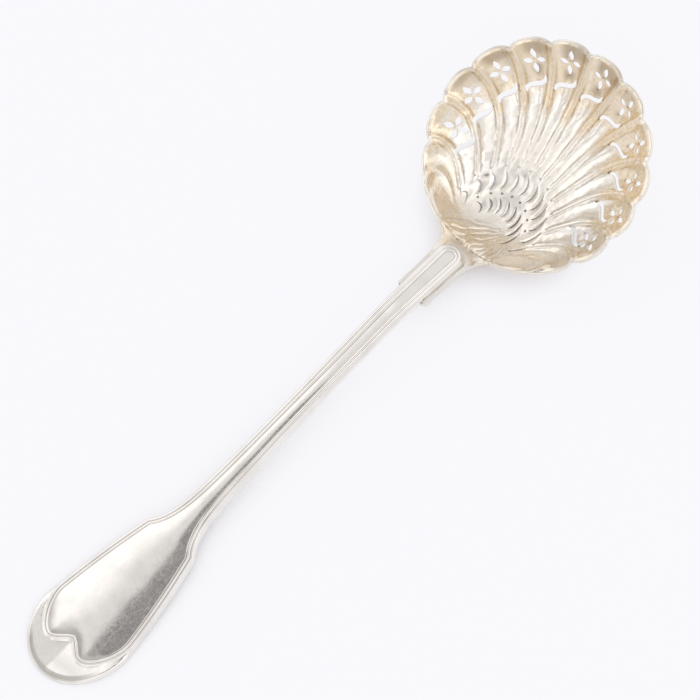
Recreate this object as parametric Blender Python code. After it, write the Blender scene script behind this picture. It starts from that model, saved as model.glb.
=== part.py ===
"""Sugar sifter spoon: a pierced shell bowl whose tang is lapped and soldered under a threaded handle.

Lengths are in millimetres and become metres when a mesh is made. In the spoon's own frame X runs along
it towards the bowl, Y to the left and Z up from the table; x = 0 is the heel, where the bowl begins.
The bowl is drawn flat, in the plane of its rim, and then pitched up about the heel.
"""

import math

import bpy
import numpy as np
from mathutils.geometry import delaunay_2d_cdt

METRES_PER_MM = 0.001

# Bowl
BOWL_RADIUS = 29.9  # from the centre of the rim to the crest of a lobe
BOWL_PITCH = math.radians(24.0)  # how far the front of the rim is tipped up
BOWL_DEPTH = 14.5
WALL = 1.0
HEEL_HALF_ANGLE = math.radians(14.9)  # from the axis to the heel corner, seen from the rim's centre
FLOOR_SHIFT = 10.9  # from the centre of the rim back to the deepest part
WALL_POWER = 2.4  # higher is a flatter floor with steeper walls
HEEL_DIP = 2.0  # the tang's face below the plane of the rim, at the heel
HEEL_BLEND = 1.4

# Lobes and flutes
LOBE_PITCH = math.radians(22.07)  # between ridges, seen from the rim's centre
FLOWERED_LOBES = 11
NOTCH_DEPTH = 1.5
NOTCH_POWER = 2.6
FLUTE_DEPTH = 1.5
FLUTE_START = 0.36  # share of the way from umbo to rim
FAN_WAIST = 0.68  # half way from umbo to rim the ridges are this much closer together
PLAIN_FLUTE = 1.0  # how many lobes wide the flute beside each outermost ridge is

# Piercings
FLOWER_INSET = 5.2  # from the rim to the flower
FLOWER_HUB = 0.55
PETALS = 4
PETAL_LENGTH = 2.35
PETAL_WIDTH = 1.25
SCROLL_BACK = 5.8  # from flower to scroll, along the fan
SCROLL_RISE = 2.0  # half the scroll's reach along the fan
SCROLL_REACH = 2.3  # half its reach across the fan
SCROLL_WIDTH = 1.0
SLIT_WIDTH = 0.46
DOT_RADIUS = 0.32
OUTER_SLITS = (0.285, 0.375)  # from and to, as shares of the way from umbo to rim
INNER_SLITS = (0.165, 0.25)
DOT_BEYOND = 0.024  # from slit to dot, as a share of the same way
OUTER_SWIRL = 0.4  # how many lobes a slit drifts sideways
INNER_SWIRL = 0.6
INNER_SLIT_COUNT = 8
INNER_SLIT_SPACING = 1.15  # in lobes

# Tang under the stem
TANG_LENGTH = 20.9
TANG_HALF_WIDTH = 4.5
TANG_FLARE = 2.6  # length over which the tang widens into the heel
FIN_START = 4.0  # the flat seat reaches this far from the axis
FIN_CURL = 3.1  # radius at which the tang's sides turn up
SEAT_RUN = 3.0  # the seat's plane runs this far into the bowl
SEAT_SLOPE = math.radians(5.5)

# Solder between tang and stem
SOLDER_FILM = 0.24
SOLDER_INSET = 0.3
FIT_GAP = 0.06

# Handle
HANDLE_REACH = 156.5  # from tip to heel
HANDLE_SETBACK = 3.1  # from its front end to the heel
TIP_LENGTH = 16.6
BLADE_HALF_WIDTH = 13.35
SHOULDER_AT = 47.3  # from the tip
SHOULDER_HALF_WIDTH = 8.25
SHOULDER_FALL = 4.8  # length over which the shoulder dies into the stem
STEM_HALF_WIDTH = 3.2
STEM_WAIST_AT = 112.0  # from the tip
STEM_SWELL = 4400.0  # radius-like length by which the stem widens away from its waist
FRONT_ROUND = 3.4
BLADE_EDGE = 1.7  # thickness
STEM_EDGE = 2.5
CROWN = 0.6  # extra thickness on the axis
TIP_LIFT = 0.5
FOOT_START = 5.0  # the flat under the blade, from the tip
FOOT_END = 12.0
ARCH_REAR = 60.0  # reach of the arch's two bends
ARCH_FRONT = 14.0
ARCH_SLOPE = 0.045

# Thread border
EDGE_BEVEL = 0.4
EDGE_DROP = 0.3
THREAD_PITCH = 0.92
THREAD_RELIEF = 0.32
HEART_CUSP = 9.7  # from the tip
HEART_LOBE = 7.4
HEART_LOBE_AT = 5.0
HEART_JOIN = 18.0
KEEL_RELIEF = 0.35

# Flat under the bowl
BASE_FLAT = 0.3  # how much of the rounded bottom is worn level

RIM_CENTRE = BOWL_RADIUS * math.cos(HEEL_HALF_ANGLE)
UMBO = RIM_CENTRE - BOWL_RADIUS
FLOOR = RIM_CENTRE - FLOOR_SHIFT
LAST_RIDGE = FLOWERED_LOBES / 2
PITCH_COS = math.cos(BOWL_PITCH)
PITCH_SIN = math.sin(BOWL_PITCH)


def smoothstep(low, high, value):
    """Rises smoothly from 0 at low to 1 at high."""
    share = np.clip((value - low) / (high - low), 0.0, 1.0)
    return share * share * (3.0 - 2.0 * share)


def bezier(start, leave, arrive, end, count):
    """Points along a cubic curve, as an array of count rows."""
    t = np.linspace(0.0, 1.0, count)[:, None]
    start, leave, arrive, end = (np.asarray(p, float) for p in (start, leave, arrive, end))
    return (1 - t) ** 3 * start + 3 * (1 - t) ** 2 * t * leave + 3 * (1 - t) * t**2 * arrive + t**3 * end


def arc(start, end, count):
    """Count angles from start to end, both in it."""
    return np.linspace(start, end, count)


# Surface of the bowl, in the plane of its rim


def lobe_phase(lobe, last):
    """Distance from the middle of a lobe, 0 there and 0.5 on a ridge; beyond the last ridge it falls to 0."""
    plain = np.clip(last + 0.5 - np.abs(lobe), 0.0, 0.5)
    return np.where(np.abs(lobe) <= last, np.abs(lobe - np.round(lobe)), plain)


def fan_spread(way):
    """How far apart the fan's lines are at a share of the way from umbo to rim, 1 at the rim."""
    return FAN_WAIST + (1 - FAN_WAIST) * (2 * np.minimum(way, 1.0) - 1) ** 2


def fan_place(way, lobe):
    """Plan position of a point a share of the way from umbo to rim, along one line of the fan."""
    angle = lobe * LOBE_PITCH / 2 * fan_spread(way)
    reach = way * 2 * BOWL_RADIUS * np.cos(angle)
    return np.stack([UMBO + reach * np.cos(angle), reach * np.sin(angle)], axis=-1)


def fan_facing(way, lobe):
    """Direction in which a line of the fan runs towards the rim."""
    step = 0.01
    run = fan_place(way + step, lobe) - fan_place(way - step, lobe)
    return math.atan2(run[1], run[0])


def fan_coordinates(x, y):
    """The inverse of fan_place: (way, lobe) of a plan position."""
    angle = np.arctan2(y, x - UMBO)
    chord = 2 * BOWL_RADIUS * np.maximum(np.cos(angle), 0.05)
    way = np.hypot(x - UMBO, y) / chord
    return way, angle / (LOBE_PITCH / 2 * fan_spread(way))


def plain_depth(x, y):
    """Depth of the unfluted sheet below the rim's plane: a dished wall that runs out onto the tang's seat."""
    dx = x - FLOOR
    reach = np.maximum(np.hypot(dx, y), 1e-6)
    along = -FLOOR_SHIFT * dx / reach
    to_rim = -along + np.sqrt(along**2 + BOWL_RADIUS**2 - FLOOR_SHIFT**2)
    wall = BOWL_DEPTH * (1 - (reach / to_rim) ** WALL_POWER)
    curl = np.maximum(np.abs(y) - FIN_START, 0.0) ** 2 + np.maximum(x - SEAT_RUN, 0.0) ** 2
    seat = HEEL_DIP + x * math.tan(BOWL_PITCH + SEAT_SLOPE) - curl / (2 * FIN_CURL)
    over = wall - seat
    return seat + (over + np.sqrt(over**2 + HEEL_BLEND**2)) / 2


def flute(x, y):
    """How much the flutes deepen the sheet, less than nothing on the ridges."""
    way, lobe = fan_coordinates(x, y)
    last = LAST_RIDGE + PLAIN_FLUTE
    growth = smoothstep(FLUTE_START, 1.0, way) * (1 - smoothstep(last - 0.5, last + 1.0, np.abs(lobe)))
    return FLUTE_DEPTH * growth * (0.5 - (2 * lobe_phase(lobe, last)) ** 2)


def bowl_normals(x, y):
    """Upward unit normals of the unfluted sheet."""
    step = 0.05
    east = (plain_depth(x + step, y) - plain_depth(x - step, y)) / (2 * step)
    north = (plain_depth(x, y + step) - plain_depth(x, y - step)) / (2 * step)
    normals = np.stack([east, north, np.ones_like(x)], axis=-1)
    return normals / np.linalg.norm(normals, axis=-1, keepdims=True)


def heel_height():
    """Height of the heel above the table, with the rounded bottom worn level by BASE_FLAT."""
    x = np.linspace(0.0, RIM_CENTRE, 400)
    y = np.zeros_like(x)
    outer = np.stack([x, y, -plain_depth(x, y)], axis=-1) - WALL * bowl_normals(x, y)
    lowest = (outer[:, 0] * PITCH_SIN + outer[:, 2] * PITCH_COS).min()
    return -lowest - BASE_FLAT


HEEL_HEIGHT = heel_height()
SEAT_AT_HEEL = HEEL_HEIGHT - HEEL_DIP * (PITCH_COS - math.tan(SEAT_SLOPE) * PITCH_SIN)


def seat_height(x):
    """Height of the tang's flat face above the table."""
    return SEAT_AT_HEEL - math.tan(SEAT_SLOPE) * x


# Outlines in plan


def rim_radius(angle):
    """Distance of the lobed rim from its centre."""
    return BOWL_RADIUS - NOTCH_DEPTH * (2 * lobe_phase(angle / LOBE_PITCH, LAST_RIDGE)) ** NOTCH_POWER


def bowl_outline():
    """Lobed rim and tang as one closed loop, anticlockwise."""
    steps_per_lobe = 8
    last = LAST_RIDGE * LOBE_PITCH
    heel = math.pi - HEEL_HALF_ANGLE
    lobes = arc(-last, last, FLOWERED_LOBES * steps_per_lobe + 1)
    side = arc(last, heel, 12)[1:]
    angles = np.concatenate([-side[::-1], lobes, side])
    radius = rim_radius(angles)
    rim = np.stack([RIM_CENTRE + radius * np.cos(angles), radius * np.sin(angles)], axis=-1)
    corner = rim[-1]
    along = np.array([1.0, 2.2, 3.8, 6.0, 9.0, 13.0, 17.0, TANG_LENGTH])
    width = TANG_HALF_WIDTH + (corner[1] - TANG_HALF_WIDTH) * np.exp(-along / TANG_FLARE)
    left = np.stack([-along, width], axis=-1)
    right = left[::-1] * (1, -1)
    return np.concatenate([rim, left, right])


def petal(centre, facing):
    """A pointed leaf that lies from a flower's hub outwards in the facing direction."""
    share = np.array([0.2, 0.5, 0.8])
    half = PETAL_WIDTH / 2 * np.sin(math.pi * share)
    reach = FLOWER_HUB + PETAL_LENGTH * share
    up = np.stack([reach, half], axis=-1)
    down = np.stack([reach, -half], axis=-1)[::-1]
    local = np.concatenate([[[FLOWER_HUB, 0.0]], down[::-1], [[FLOWER_HUB + PETAL_LENGTH, 0.0]], up[::-1]])
    return centre + turned(local, facing)


def turned(points, angle):
    """Plan points turned about the origin."""
    cos, sin = math.cos(angle), math.sin(angle)
    return points @ np.array([[cos, sin], [-sin, cos]])


def ribbon(path, widths):
    """A closed loop of varying width about an open path that ends in two points."""
    ahead = np.gradient(path, axis=0)
    across = np.stack([-ahead[:, 1], ahead[:, 0]], axis=-1)
    across /= np.linalg.norm(across, axis=-1, keepdims=True)
    left = path + across * widths[:, None] / 2
    right = path - across * widths[:, None] / 2
    return np.concatenate([path[:1], right[1:-1], path[-1:], left[-2:0:-1]])


def scroll(flower):
    """An S-shaped slot on the same line of the fan as a flower, turned to that line."""
    path = bezier(
        (-SCROLL_RISE, SCROLL_REACH),
        (0.0, SCROLL_REACH * 1.2),
        (0.0, -SCROLL_REACH * 1.2),
        (SCROLL_RISE, -SCROLL_REACH),
        8,
    )
    widths = SCROLL_WIDTH * np.sin(math.pi * np.linspace(0, 1, len(path))) ** 0.6
    way, lobe = fan_coordinates(flower[0], flower[1])
    way -= SCROLL_BACK * way / math.hypot(flower[0] - UMBO, flower[1])
    return fan_place(way, lobe) + turned(ribbon(path, widths), fan_facing(way, lobe))


def on_lobe(angle, inset):
    """The point that far inside the rim, in the direction of angle from its centre."""
    radius = BOWL_RADIUS - inset
    return np.array([RIM_CENTRE + radius * math.cos(angle), radius * math.sin(angle)])


def slit(lobe, ways, swirl):
    """A thin curved slot on the floor that drifts onto one line of the fan."""
    share = np.linspace(0.0, 1.0, 5)
    path = fan_place(ways[0] + (ways[1] - ways[0]) * share, lobe - swirl * (1 - share**2))
    return ribbon(path, SLIT_WIDTH * np.sin(math.pi * share) ** 0.7)


def dot(lobe, way):
    """A small drilled hole, six-sided."""
    angles = arc(0.0, 2 * math.pi, 7)[:-1]
    ring = np.stack([np.cos(angles), np.sin(angles)], axis=-1)
    return fan_place(np.float64(way), lobe) + DOT_RADIUS * ring


def piercings():
    """Every hole through the bowl as a closed plan loop."""
    loops = []
    half = FLOWERED_LOBES // 2
    for lobe in range(-half, half + 1):
        angle = lobe * LOBE_PITCH
        centre = on_lobe(angle, FLOWER_INSET)
        loops += [petal(centre, angle + 2 * math.pi * leaf / PETALS) for leaf in range(PETALS)]
        loops.append(scroll(centre))
    ridges = np.arange(-LAST_RIDGE, LAST_RIDGE + 1)
    inner = (np.arange(INNER_SLIT_COUNT) - (INNER_SLIT_COUNT - 1) / 2) * INNER_SLIT_SPACING
    for lobe, ways, swirl in [(r, OUTER_SLITS, OUTER_SWIRL) for r in ridges] + [
        (i, INNER_SLITS, INNER_SWIRL) for i in inner
    ]:
        loops.append(slit(lobe, ways, swirl))
        loops.append(dot(lobe, ways[1] + DOT_BEYOND))
    return loops


def half_width(a):
    """Half the handle's width at a distance from its tip, for the blade's sides and the stem."""
    blade = (a - TIP_LENGTH) / (SHOULDER_AT - TIP_LENGTH)
    blade = np.clip(blade, 0.0, 1.0)
    sides = BLADE_HALF_WIDTH - (BLADE_HALF_WIDTH - SHOULDER_HALF_WIDTH) * blade * (0.62 + 0.38 * blade)
    stem = STEM_HALF_WIDTH + (a - STEM_WAIST_AT) ** 2 / STEM_SWELL
    at_shoulder = STEM_HALF_WIDTH + (SHOULDER_AT - STEM_WAIST_AT) ** 2 / STEM_SWELL
    fall = (SHOULDER_HALF_WIDTH - at_shoulder) * np.exp(-np.maximum(a - SHOULDER_AT, 0.0) / SHOULDER_FALL)
    return np.where(a <= SHOULDER_AT, sides, stem + fall)


def mirrored(left):
    """The closed loop made of a left-hand line and its mirror image, anticlockwise."""
    right = left[(left[:, 1] > 1e-6)] * (1, -1)
    return np.concatenate([left[::-1], right])


def handle_sides(start):
    """The left edge of the handle from a distance along it to its front end on the axis."""
    front = HANDLE_REACH - HANDLE_SETBACK
    blade = np.linspace(start, SHOULDER_AT, 11)
    fall = SHOULDER_AT + np.array([0.8, 1.7, 2.8, 4.2, 6.2, 9.0, 13.0])
    stem = np.linspace(fall[-1] + 6.0, front - FRONT_ROUND, 15)
    a = np.concatenate([blade, fall, stem])
    sides = np.stack([a, half_width(a)], axis=-1)
    angles = arc(0.0, math.pi / 2, 6)[1:]
    round_end = np.stack(
        [front - FRONT_ROUND + FRONT_ROUND * np.sin(angles), sides[-1, 1] * np.cos(angles)], axis=-1
    )
    return np.concatenate([sides, round_end])


def handle_outline():
    """The handle in plan: half-ellipse tip, tapering blade, shoulders, stem and rounded front end."""
    foot = np.arccos(1 - np.array([FOOT_START, FOOT_END]) / TIP_LENGTH)
    angles = np.sort(np.concatenate([arc(0.0, math.pi / 2, 11)[:-1], foot]))
    tip = np.stack([TIP_LENGTH * (1 - np.cos(angles)), BLADE_HALF_WIDTH * np.sin(angles)], axis=-1)
    return mirrored(np.concatenate([tip, handle_sides(TIP_LENGTH)]))


def thread_guide():
    """The line that the thread border is offset from: the outline, but heart-shaped at the tip."""
    lobe = (HEART_LOBE, HEART_LOBE_AT)
    join = (HEART_JOIN, float(half_width(np.float64(HEART_JOIN))))
    inner = bezier((HEART_CUSP, 0.0), (HEART_CUSP - 1.2, 1.6), (lobe[0], lobe[1] - 1.8), lobe, 6)
    outer = bezier(lobe, (lobe[0], lobe[1] + 3.6), (join[0] - 6.0, join[1] + 0.2), join, 8)
    return mirrored(np.concatenate([inner, outer[1:-1], handle_sides(HEART_JOIN)]))


def inset_loop(loop, distance):
    """An anticlockwise loop moved inwards by a distance, with mitred corners."""
    before = loop - np.roll(loop, 1, axis=0)
    after = np.roll(loop, -1, axis=0) - loop
    sides = [np.stack([-edge[:, 1], edge[:, 0]], axis=-1) for edge in (before, after)]
    first, second = (side / np.linalg.norm(side, axis=-1, keepdims=True) for side in sides)
    mitre = (first + second) / (1 + np.sum(first * second, axis=-1, keepdims=True))
    return loop + distance * mitre


# Heights of the handle


def handle_under(a):
    """Height of the handle's underside: lifted tip, flat foot, long arch, then the lap on the tang."""
    lap_start = HANDLE_REACH - TANG_LENGTH - 1.0
    lap_height = seat_height(lap_start - HANDLE_REACH) + SOLDER_FILM + 2 * FIT_GAP
    rise = math.tan(SEAT_SLOPE) * ARCH_FRONT
    arch = bezier(
        (FOOT_END, 0.0),
        (FOOT_END + ARCH_REAR, ARCH_SLOPE * ARCH_REAR),
        (lap_start - ARCH_FRONT, lap_height + rise),
        (lap_start, lap_height),
        80,
    )
    lap = seat_height(a - HANDLE_REACH) + SOLDER_FILM + 2 * FIT_GAP
    lifted = TIP_LIFT * (np.maximum(FOOT_START - a, 0.0) / FOOT_START) ** 2
    arched = np.interp(a, arch[:, 0], arch[:, 1])
    return np.where(a >= lap_start, lap, np.where(a <= FOOT_END, lifted, arched))


def handle_over(a, y):
    """Height of the handle's upper face before its threads, crowned across its width."""
    edge = BLADE_EDGE + (STEM_EDGE - BLADE_EDGE) * smoothstep(TIP_LENGTH, SHOULDER_AT + 18.0, a)
    across = np.clip(np.abs(y) / half_width(a), 0.0, 1.0)
    return handle_under(a) + edge + CROWN * (1 - across**2)


# Meshes


def inside(points, loop):
    """Whether each plan point lies inside a closed loop."""
    x, y = points[:, 0, None], points[:, 1, None]
    x0, y0 = loop[:, 0], loop[:, 1]
    x1, y1 = np.roll(x0, -1), np.roll(y0, -1)
    spans = (y0 > y) != (y1 > y)
    rise = np.where(y1 == y0, 1.0, y1 - y0)
    crosses = x < x0 + (y - y0) * (x1 - x0) / rise
    return np.sum(spans & crosses, axis=1) % 2 == 1


def clear_of(points, loops, margin):
    """The points that keep a margin from every corner and side of the loops and lie in none of the holes."""
    keep = np.ones(len(points), bool)
    for loop in loops:
        ends = np.roll(loop, -1, axis=0)
        side = ends - loop
        length = np.maximum(np.sum(side * side, axis=1), 1e-12)
        share = np.sum((points[:, None] - loop) * side, axis=2) / length
        nearest = loop + np.clip(share, 0, 1)[..., None] * side
        keep &= np.linalg.norm(points[:, None] - nearest, axis=2).min(axis=1) > margin
    return points[keep]


def triangulated(outline, holes, loops, lines, points):
    """Triangles over a plan outline with holes in it, along loops and lines and through loose points.

    Returns the plan points, the triangles, and for each point which input loop it came from: 0 the
    outline, then the holes, the loops and the lines in order, and -1 for a loose point.
    """
    closed = [outline, *holes, *loops]
    rows, edges, source = [], [], []
    for number, path in enumerate([*closed, *lines]):
        first = len(source)
        count = len(path)
        rows.append(path)
        source += [number] * count
        edges += [(first + i, first + i + 1) for i in range(count - 1)]
        if number < len(closed):
            edges.append((first + count - 1, first))
    rows.append(points)
    source += [-1] * len(points)
    flat = [tuple(p) for p in np.concatenate(rows)]
    made = delaunay_2d_cdt(flat, edges, [], 1, 1e-6)
    plan = np.array([tuple(p) for p in made[0]])
    triangles = np.array(made[2])
    came_from = np.array([source[ids[0]] if ids else -1 for ids in made[3]])
    middle = plan[triangles].mean(axis=1)
    keep = inside(middle, outline)
    for hole in holes:
        keep &= ~inside(middle, hole)
    return plan, triangles[keep], came_from


def closed_shell(top, bottom, triangles):
    """Vertices and faces of the solid between two sheets that share their triangles."""
    count = len(top)
    ends = np.concatenate([triangles[:, [0, 1]], triangles[:, [1, 2]], triangles[:, [2, 0]]])
    directed = {tuple(edge) for edge in ends.tolist()}
    border = [edge for edge in ends.tolist() if (edge[1], edge[0]) not in directed]
    faces = triangles.tolist()
    faces += (triangles[:, ::-1] + count).tolist()
    faces += [[a + count, b + count, b, a] for a, b in border]
    return np.concatenate([top, bottom]), faces


def metal(name, colour, roughness):
    """A metallic material of one colour."""
    material = bpy.data.materials.new(name)
    material.use_nodes = True
    shader = material.node_tree.nodes["Principled BSDF"]
    shader.inputs["Base Color"].default_value = (*colour, 1.0)
    shader.inputs["Metallic"].default_value = 1.0
    shader.inputs["Roughness"].default_value = roughness
    return material


def add_object(name, shell, material, parent):
    """A mesh object from vertices in millimetres, smooth but for its edges."""
    vertices, faces = shell
    mesh = bpy.data.meshes.new(name)
    mesh.from_pydata((vertices * METRES_PER_MM).tolist(), [], faces)
    mesh.shade_smooth()
    mesh.set_sharp_from_angle(angle=math.radians(40.0))
    mesh.materials.append(material)
    made = bpy.data.objects.new(name, mesh)
    made.parent = parent
    bpy.context.scene.collection.objects.link(made)
    return made


def fan_grid():
    """Loose plan points over the bowl, in rows that follow its ridges and the middles of its flutes."""
    lobes = np.arange(-LAST_RIDGE - 1.5, LAST_RIDGE + 1.51, 0.25)
    ways = np.array([0.1, 0.155, 0.21, 0.268, 0.33, 0.39, 0.46, 0.53, 0.6, 0.67, 0.74, 0.81, 0.87, 0.92, 0.965])
    rows = []
    for way in ways:
        step = 4 if way < 0.2 else 2 if way < 0.45 else 1
        rows.append(fan_place(way, lobes[::step]))
    return np.concatenate(rows)


def foot_patch():
    """Plan points that give the worn flat under the bowl its own corners."""
    x = np.linspace(0.0, RIM_CENTRE, 400)
    heights = x * PITCH_SIN - plain_depth(x, np.zeros_like(x)) * PITCH_COS
    middle = x[heights.argmin()]
    angles = arc(0.0, 2 * math.pi, 9)[:-1]
    ring = 1.6 * np.stack([np.cos(angles), np.sin(angles)], axis=-1)
    return np.concatenate([[[middle, 0.0]], (middle, 0.0) + ring])


def bowl_shell():
    """The bowl and its tang in the frame of the rim's plane."""
    outline = bowl_outline()
    holes = piercings()
    ridges = [
        fan_place(np.linspace(OUTER_SLITS[1] + 3 * DOT_BEYOND, 0.97, 9), ridge)
        for ridge in np.arange(-LAST_RIDGE, LAST_RIDGE + 1)
    ]
    loose = clear_of(fan_grid(), [outline, *holes], 0.45)
    loose = loose[inside(loose, outline)]
    lines_apart = np.concatenate(ridges)
    apart = np.linalg.norm(loose[:, None] - lines_apart, axis=2).min(axis=1) > 0.5
    tang_along = -np.array([0.0, 2.5, 5.0, 10.0, 15.0, 19.0])
    tang = np.array([(x, y) for x in tang_along for y in (-2.5, 0.0, 2.5)])
    loose = np.concatenate([loose[apart], tang, clear_of(foot_patch(), holes, 0.3)])
    plan, triangles, _ = triangulated(outline, holes, [], ridges, loose)
    x, y = plan[:, 0], plan[:, 1]
    top = np.stack([x, y, -plain_depth(x, y) - flute(x, y)], axis=-1)
    bottom = top - WALL * bowl_normals(x, y)
    height = HEEL_HEIGHT + bottom[:, 0] * PITCH_SIN + bottom[:, 2] * PITCH_COS
    up = np.array([PITCH_SIN, 0.0, PITCH_COS])
    bottom += np.maximum(-height, 0.0)[:, None] * up
    return closed_shell(top, bottom, triangles)


def handle_shell():
    """The handle, with the heel at x = 0."""
    outline = handle_outline()
    guide = thread_guide()
    insets = EDGE_BEVEL + THREAD_PITCH / 2 * np.arange(5)
    reliefs = np.array([0.25, 1.0, 0.1, 1.0, -0.15]) * THREAD_RELIEF
    loops = [inset_loop(guide, inset) for inset in insets]
    keel = np.stack([np.linspace(1.0, HEART_CUSP - 0.2, 5), np.zeros(5)], axis=-1)
    axis = np.linspace(HEART_JOIN, HANDLE_REACH - HANDLE_SETBACK - FRONT_ROUND, 30)
    loose = np.stack([axis, np.zeros_like(axis)], axis=-1)
    feet = [
        np.stack([np.full(3, a), half_width_at_tip(a) * np.array([-0.6, 0.0, 0.6])], axis=-1)
        for a in (FOOT_START, FOOT_END)
    ]
    loose = clear_of(np.concatenate([loose, *feet]), [outline, *loops, keel], 0.3)
    plan, triangles, came_from = triangulated(outline, [], loops, [keel], loose)
    a, y = plan[:, 0], plan[:, 1]
    relief = np.zeros(len(plan))
    relief[came_from == 0] = -EDGE_DROP
    for number, amount in enumerate(reliefs):
        relief[came_from == number + 1] = amount
    relief[came_from == len(loops) + 1] = KEEL_RELIEF
    top = np.stack([a - HANDLE_REACH, y, handle_over(a, y) + relief], axis=-1)
    bottom = np.stack([a - HANDLE_REACH, y, handle_under(a)], axis=-1)
    return closed_shell(top, bottom, triangles)


def half_width_at_tip(a):
    """Half the handle's width within its rounded tip."""
    return BLADE_HALF_WIDTH * math.sqrt(1 - (1 - a / TIP_LENGTH) ** 2)


def solder_shell():
    """The solder film that fills the lap between tang and stem."""
    back = HANDLE_REACH - TANG_LENGTH + SOLDER_INSET
    edge = handle_sides(HEART_JOIN)
    edge = edge[edge[:, 0] > back + 1.0]
    start = np.array([[back, float(half_width(np.float64(back)))]])
    outline = inset_loop(mirrored(np.concatenate([start, edge])), SOLDER_INSET)
    none = np.empty((0, 2))
    plan, triangles, _ = triangulated(outline, [], [], [], none)
    x, y = plan[:, 0] - HANDLE_REACH, plan[:, 1]
    bottom = np.stack([x, y, seat_height(x) + FIT_GAP], axis=-1)
    return closed_shell(bottom + (0.0, 0.0, SOLDER_FILM), bottom, triangles)


def main():
    """Clears the scene and builds the spoon, centred over the origin with the table at z = 0."""
    for old in list(bpy.data.objects):
        bpy.data.objects.remove(old, do_unlink=True)
    bowl = bowl_shell()
    handle = handle_shell()
    solder = solder_shell()
    front = (bowl[0][:, 0] * PITCH_COS - bowl[0][:, 2] * PITCH_SIN).max()
    spoon = bpy.data.objects.new("spoon", None)
    spoon.location.x = (HANDLE_REACH - front) / 2 * METRES_PER_MM
    bpy.context.scene.collection.objects.link(spoon)
    silver = metal("polished_silver", (0.83, 0.82, 0.79), 0.22)
    gilt = metal("worn_gilt", (0.80, 0.66, 0.40), 0.28)
    grey = metal("hard_solder", (0.70, 0.69, 0.66), 0.40)
    add_object("handle", handle, silver, spoon)
    shell = add_object("bowl", bowl, gilt, spoon)
    shell.location.z = HEEL_HEIGHT * METRES_PER_MM
    shell.rotation_euler.y = -BOWL_PITCH
    add_object("solder_joint", solder, grey, spoon)


main()
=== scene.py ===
"""Looks of a sugar sifter spoon: a worn gilt shell bowl, pierced for sifting, on a threaded silver handle.

Lengths are in millimetres and become metres when a mesh is made. In the maker's frame X runs along the
spoon towards the bowl, Y to its left and Z up from the table, and x = 0 is the heel, where the bowl
begins. The bowl is drawn in the plane of its rim and then pitched up about the heel.
"""

import logging
import math
from dataclasses import dataclass, field
from enum import Enum

import bpy
import numpy as np
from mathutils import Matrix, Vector
from mathutils.geometry import delaunay_2d_cdt


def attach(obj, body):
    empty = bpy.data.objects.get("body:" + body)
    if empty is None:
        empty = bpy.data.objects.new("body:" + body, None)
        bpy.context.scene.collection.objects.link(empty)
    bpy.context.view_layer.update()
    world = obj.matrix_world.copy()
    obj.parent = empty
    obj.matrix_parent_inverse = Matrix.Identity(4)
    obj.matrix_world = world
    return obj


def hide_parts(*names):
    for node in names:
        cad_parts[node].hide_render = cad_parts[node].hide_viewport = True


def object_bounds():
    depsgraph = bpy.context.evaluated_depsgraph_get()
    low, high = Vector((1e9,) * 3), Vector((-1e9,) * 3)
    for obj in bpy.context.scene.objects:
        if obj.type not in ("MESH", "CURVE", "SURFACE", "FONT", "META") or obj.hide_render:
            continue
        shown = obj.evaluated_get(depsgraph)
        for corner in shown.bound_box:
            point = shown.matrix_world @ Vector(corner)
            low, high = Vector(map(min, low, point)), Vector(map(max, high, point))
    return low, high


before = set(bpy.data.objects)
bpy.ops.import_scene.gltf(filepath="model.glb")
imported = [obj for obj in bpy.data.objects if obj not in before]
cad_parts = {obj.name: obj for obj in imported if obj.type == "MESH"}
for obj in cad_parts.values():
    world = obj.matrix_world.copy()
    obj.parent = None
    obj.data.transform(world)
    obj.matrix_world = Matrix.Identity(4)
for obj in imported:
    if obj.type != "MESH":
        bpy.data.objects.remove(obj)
CAD_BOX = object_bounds()

Array = np.ndarray
METRES_PER_MM = 0.001
IMAGE_SIDE = 700
SHARP_EDGE = math.radians(50.0)
LOG = logging.getLogger("sifter_spoon")


# Shared curves and plan work


def columns(*parts: Array) -> Array:
    """Coordinates side by side, one point per row."""
    return np.stack(parts, axis=-1)


def grid(along: Array, across: Array) -> Array:
    """Plan points at every crossing of two sets of lines."""
    return columns(*(line.ravel() for line in np.meshgrid(along, across)))


def left_of(runs: Array) -> Array:
    """Unit vectors square to plan directions, to their left."""
    across = columns(-runs[:, 1], runs[:, 0])
    return across / np.linalg.norm(across, axis=-1, keepdims=True)


def smoothstep(low: float, high: float, value: Array) -> Array:
    """Rise from 0 at low to 1 at high along 3s^2 - 2s^3, where s is the share of the way.

    Args:
        low: Value at which the rise starts; it may be above high for a fall.
        high: Value at which the rise ends.
        value: Where to read it.

    Returns:
        The risen share for each value.
    """
    share = np.clip((value - low) / (high - low), 0.0, 1.0)
    return share * share * (3.0 - 2.0 * share)


def bezier(start: tuple, leave: tuple, arrive: tuple, end: tuple, count: int) -> Array:
    """Points of the cubic whose four control points are given.

    Args:
        start: First point.
        leave: Handle of the first point.
        arrive: Handle of the last point.
        end: Last point.
        count: How many points to make.

    Returns:
        An array of count rows.
    """
    t = np.linspace(0.0, 1.0, count)[:, None]
    a, b, c, d = (np.asarray(p, float) for p in (start, leave, arrive, end))
    return (1 - t) ** 3 * a + 3 * (1 - t) ** 2 * t * b + 3 * (1 - t) * t**2 * c + t**3 * d


def turned(points: Array, angle: float) -> Array:
    """Plan points turned about the origin by an angle in radians."""
    cos, sin = math.cos(angle), math.sin(angle)
    return points @ np.array([[cos, sin], [-sin, cos]])


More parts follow.
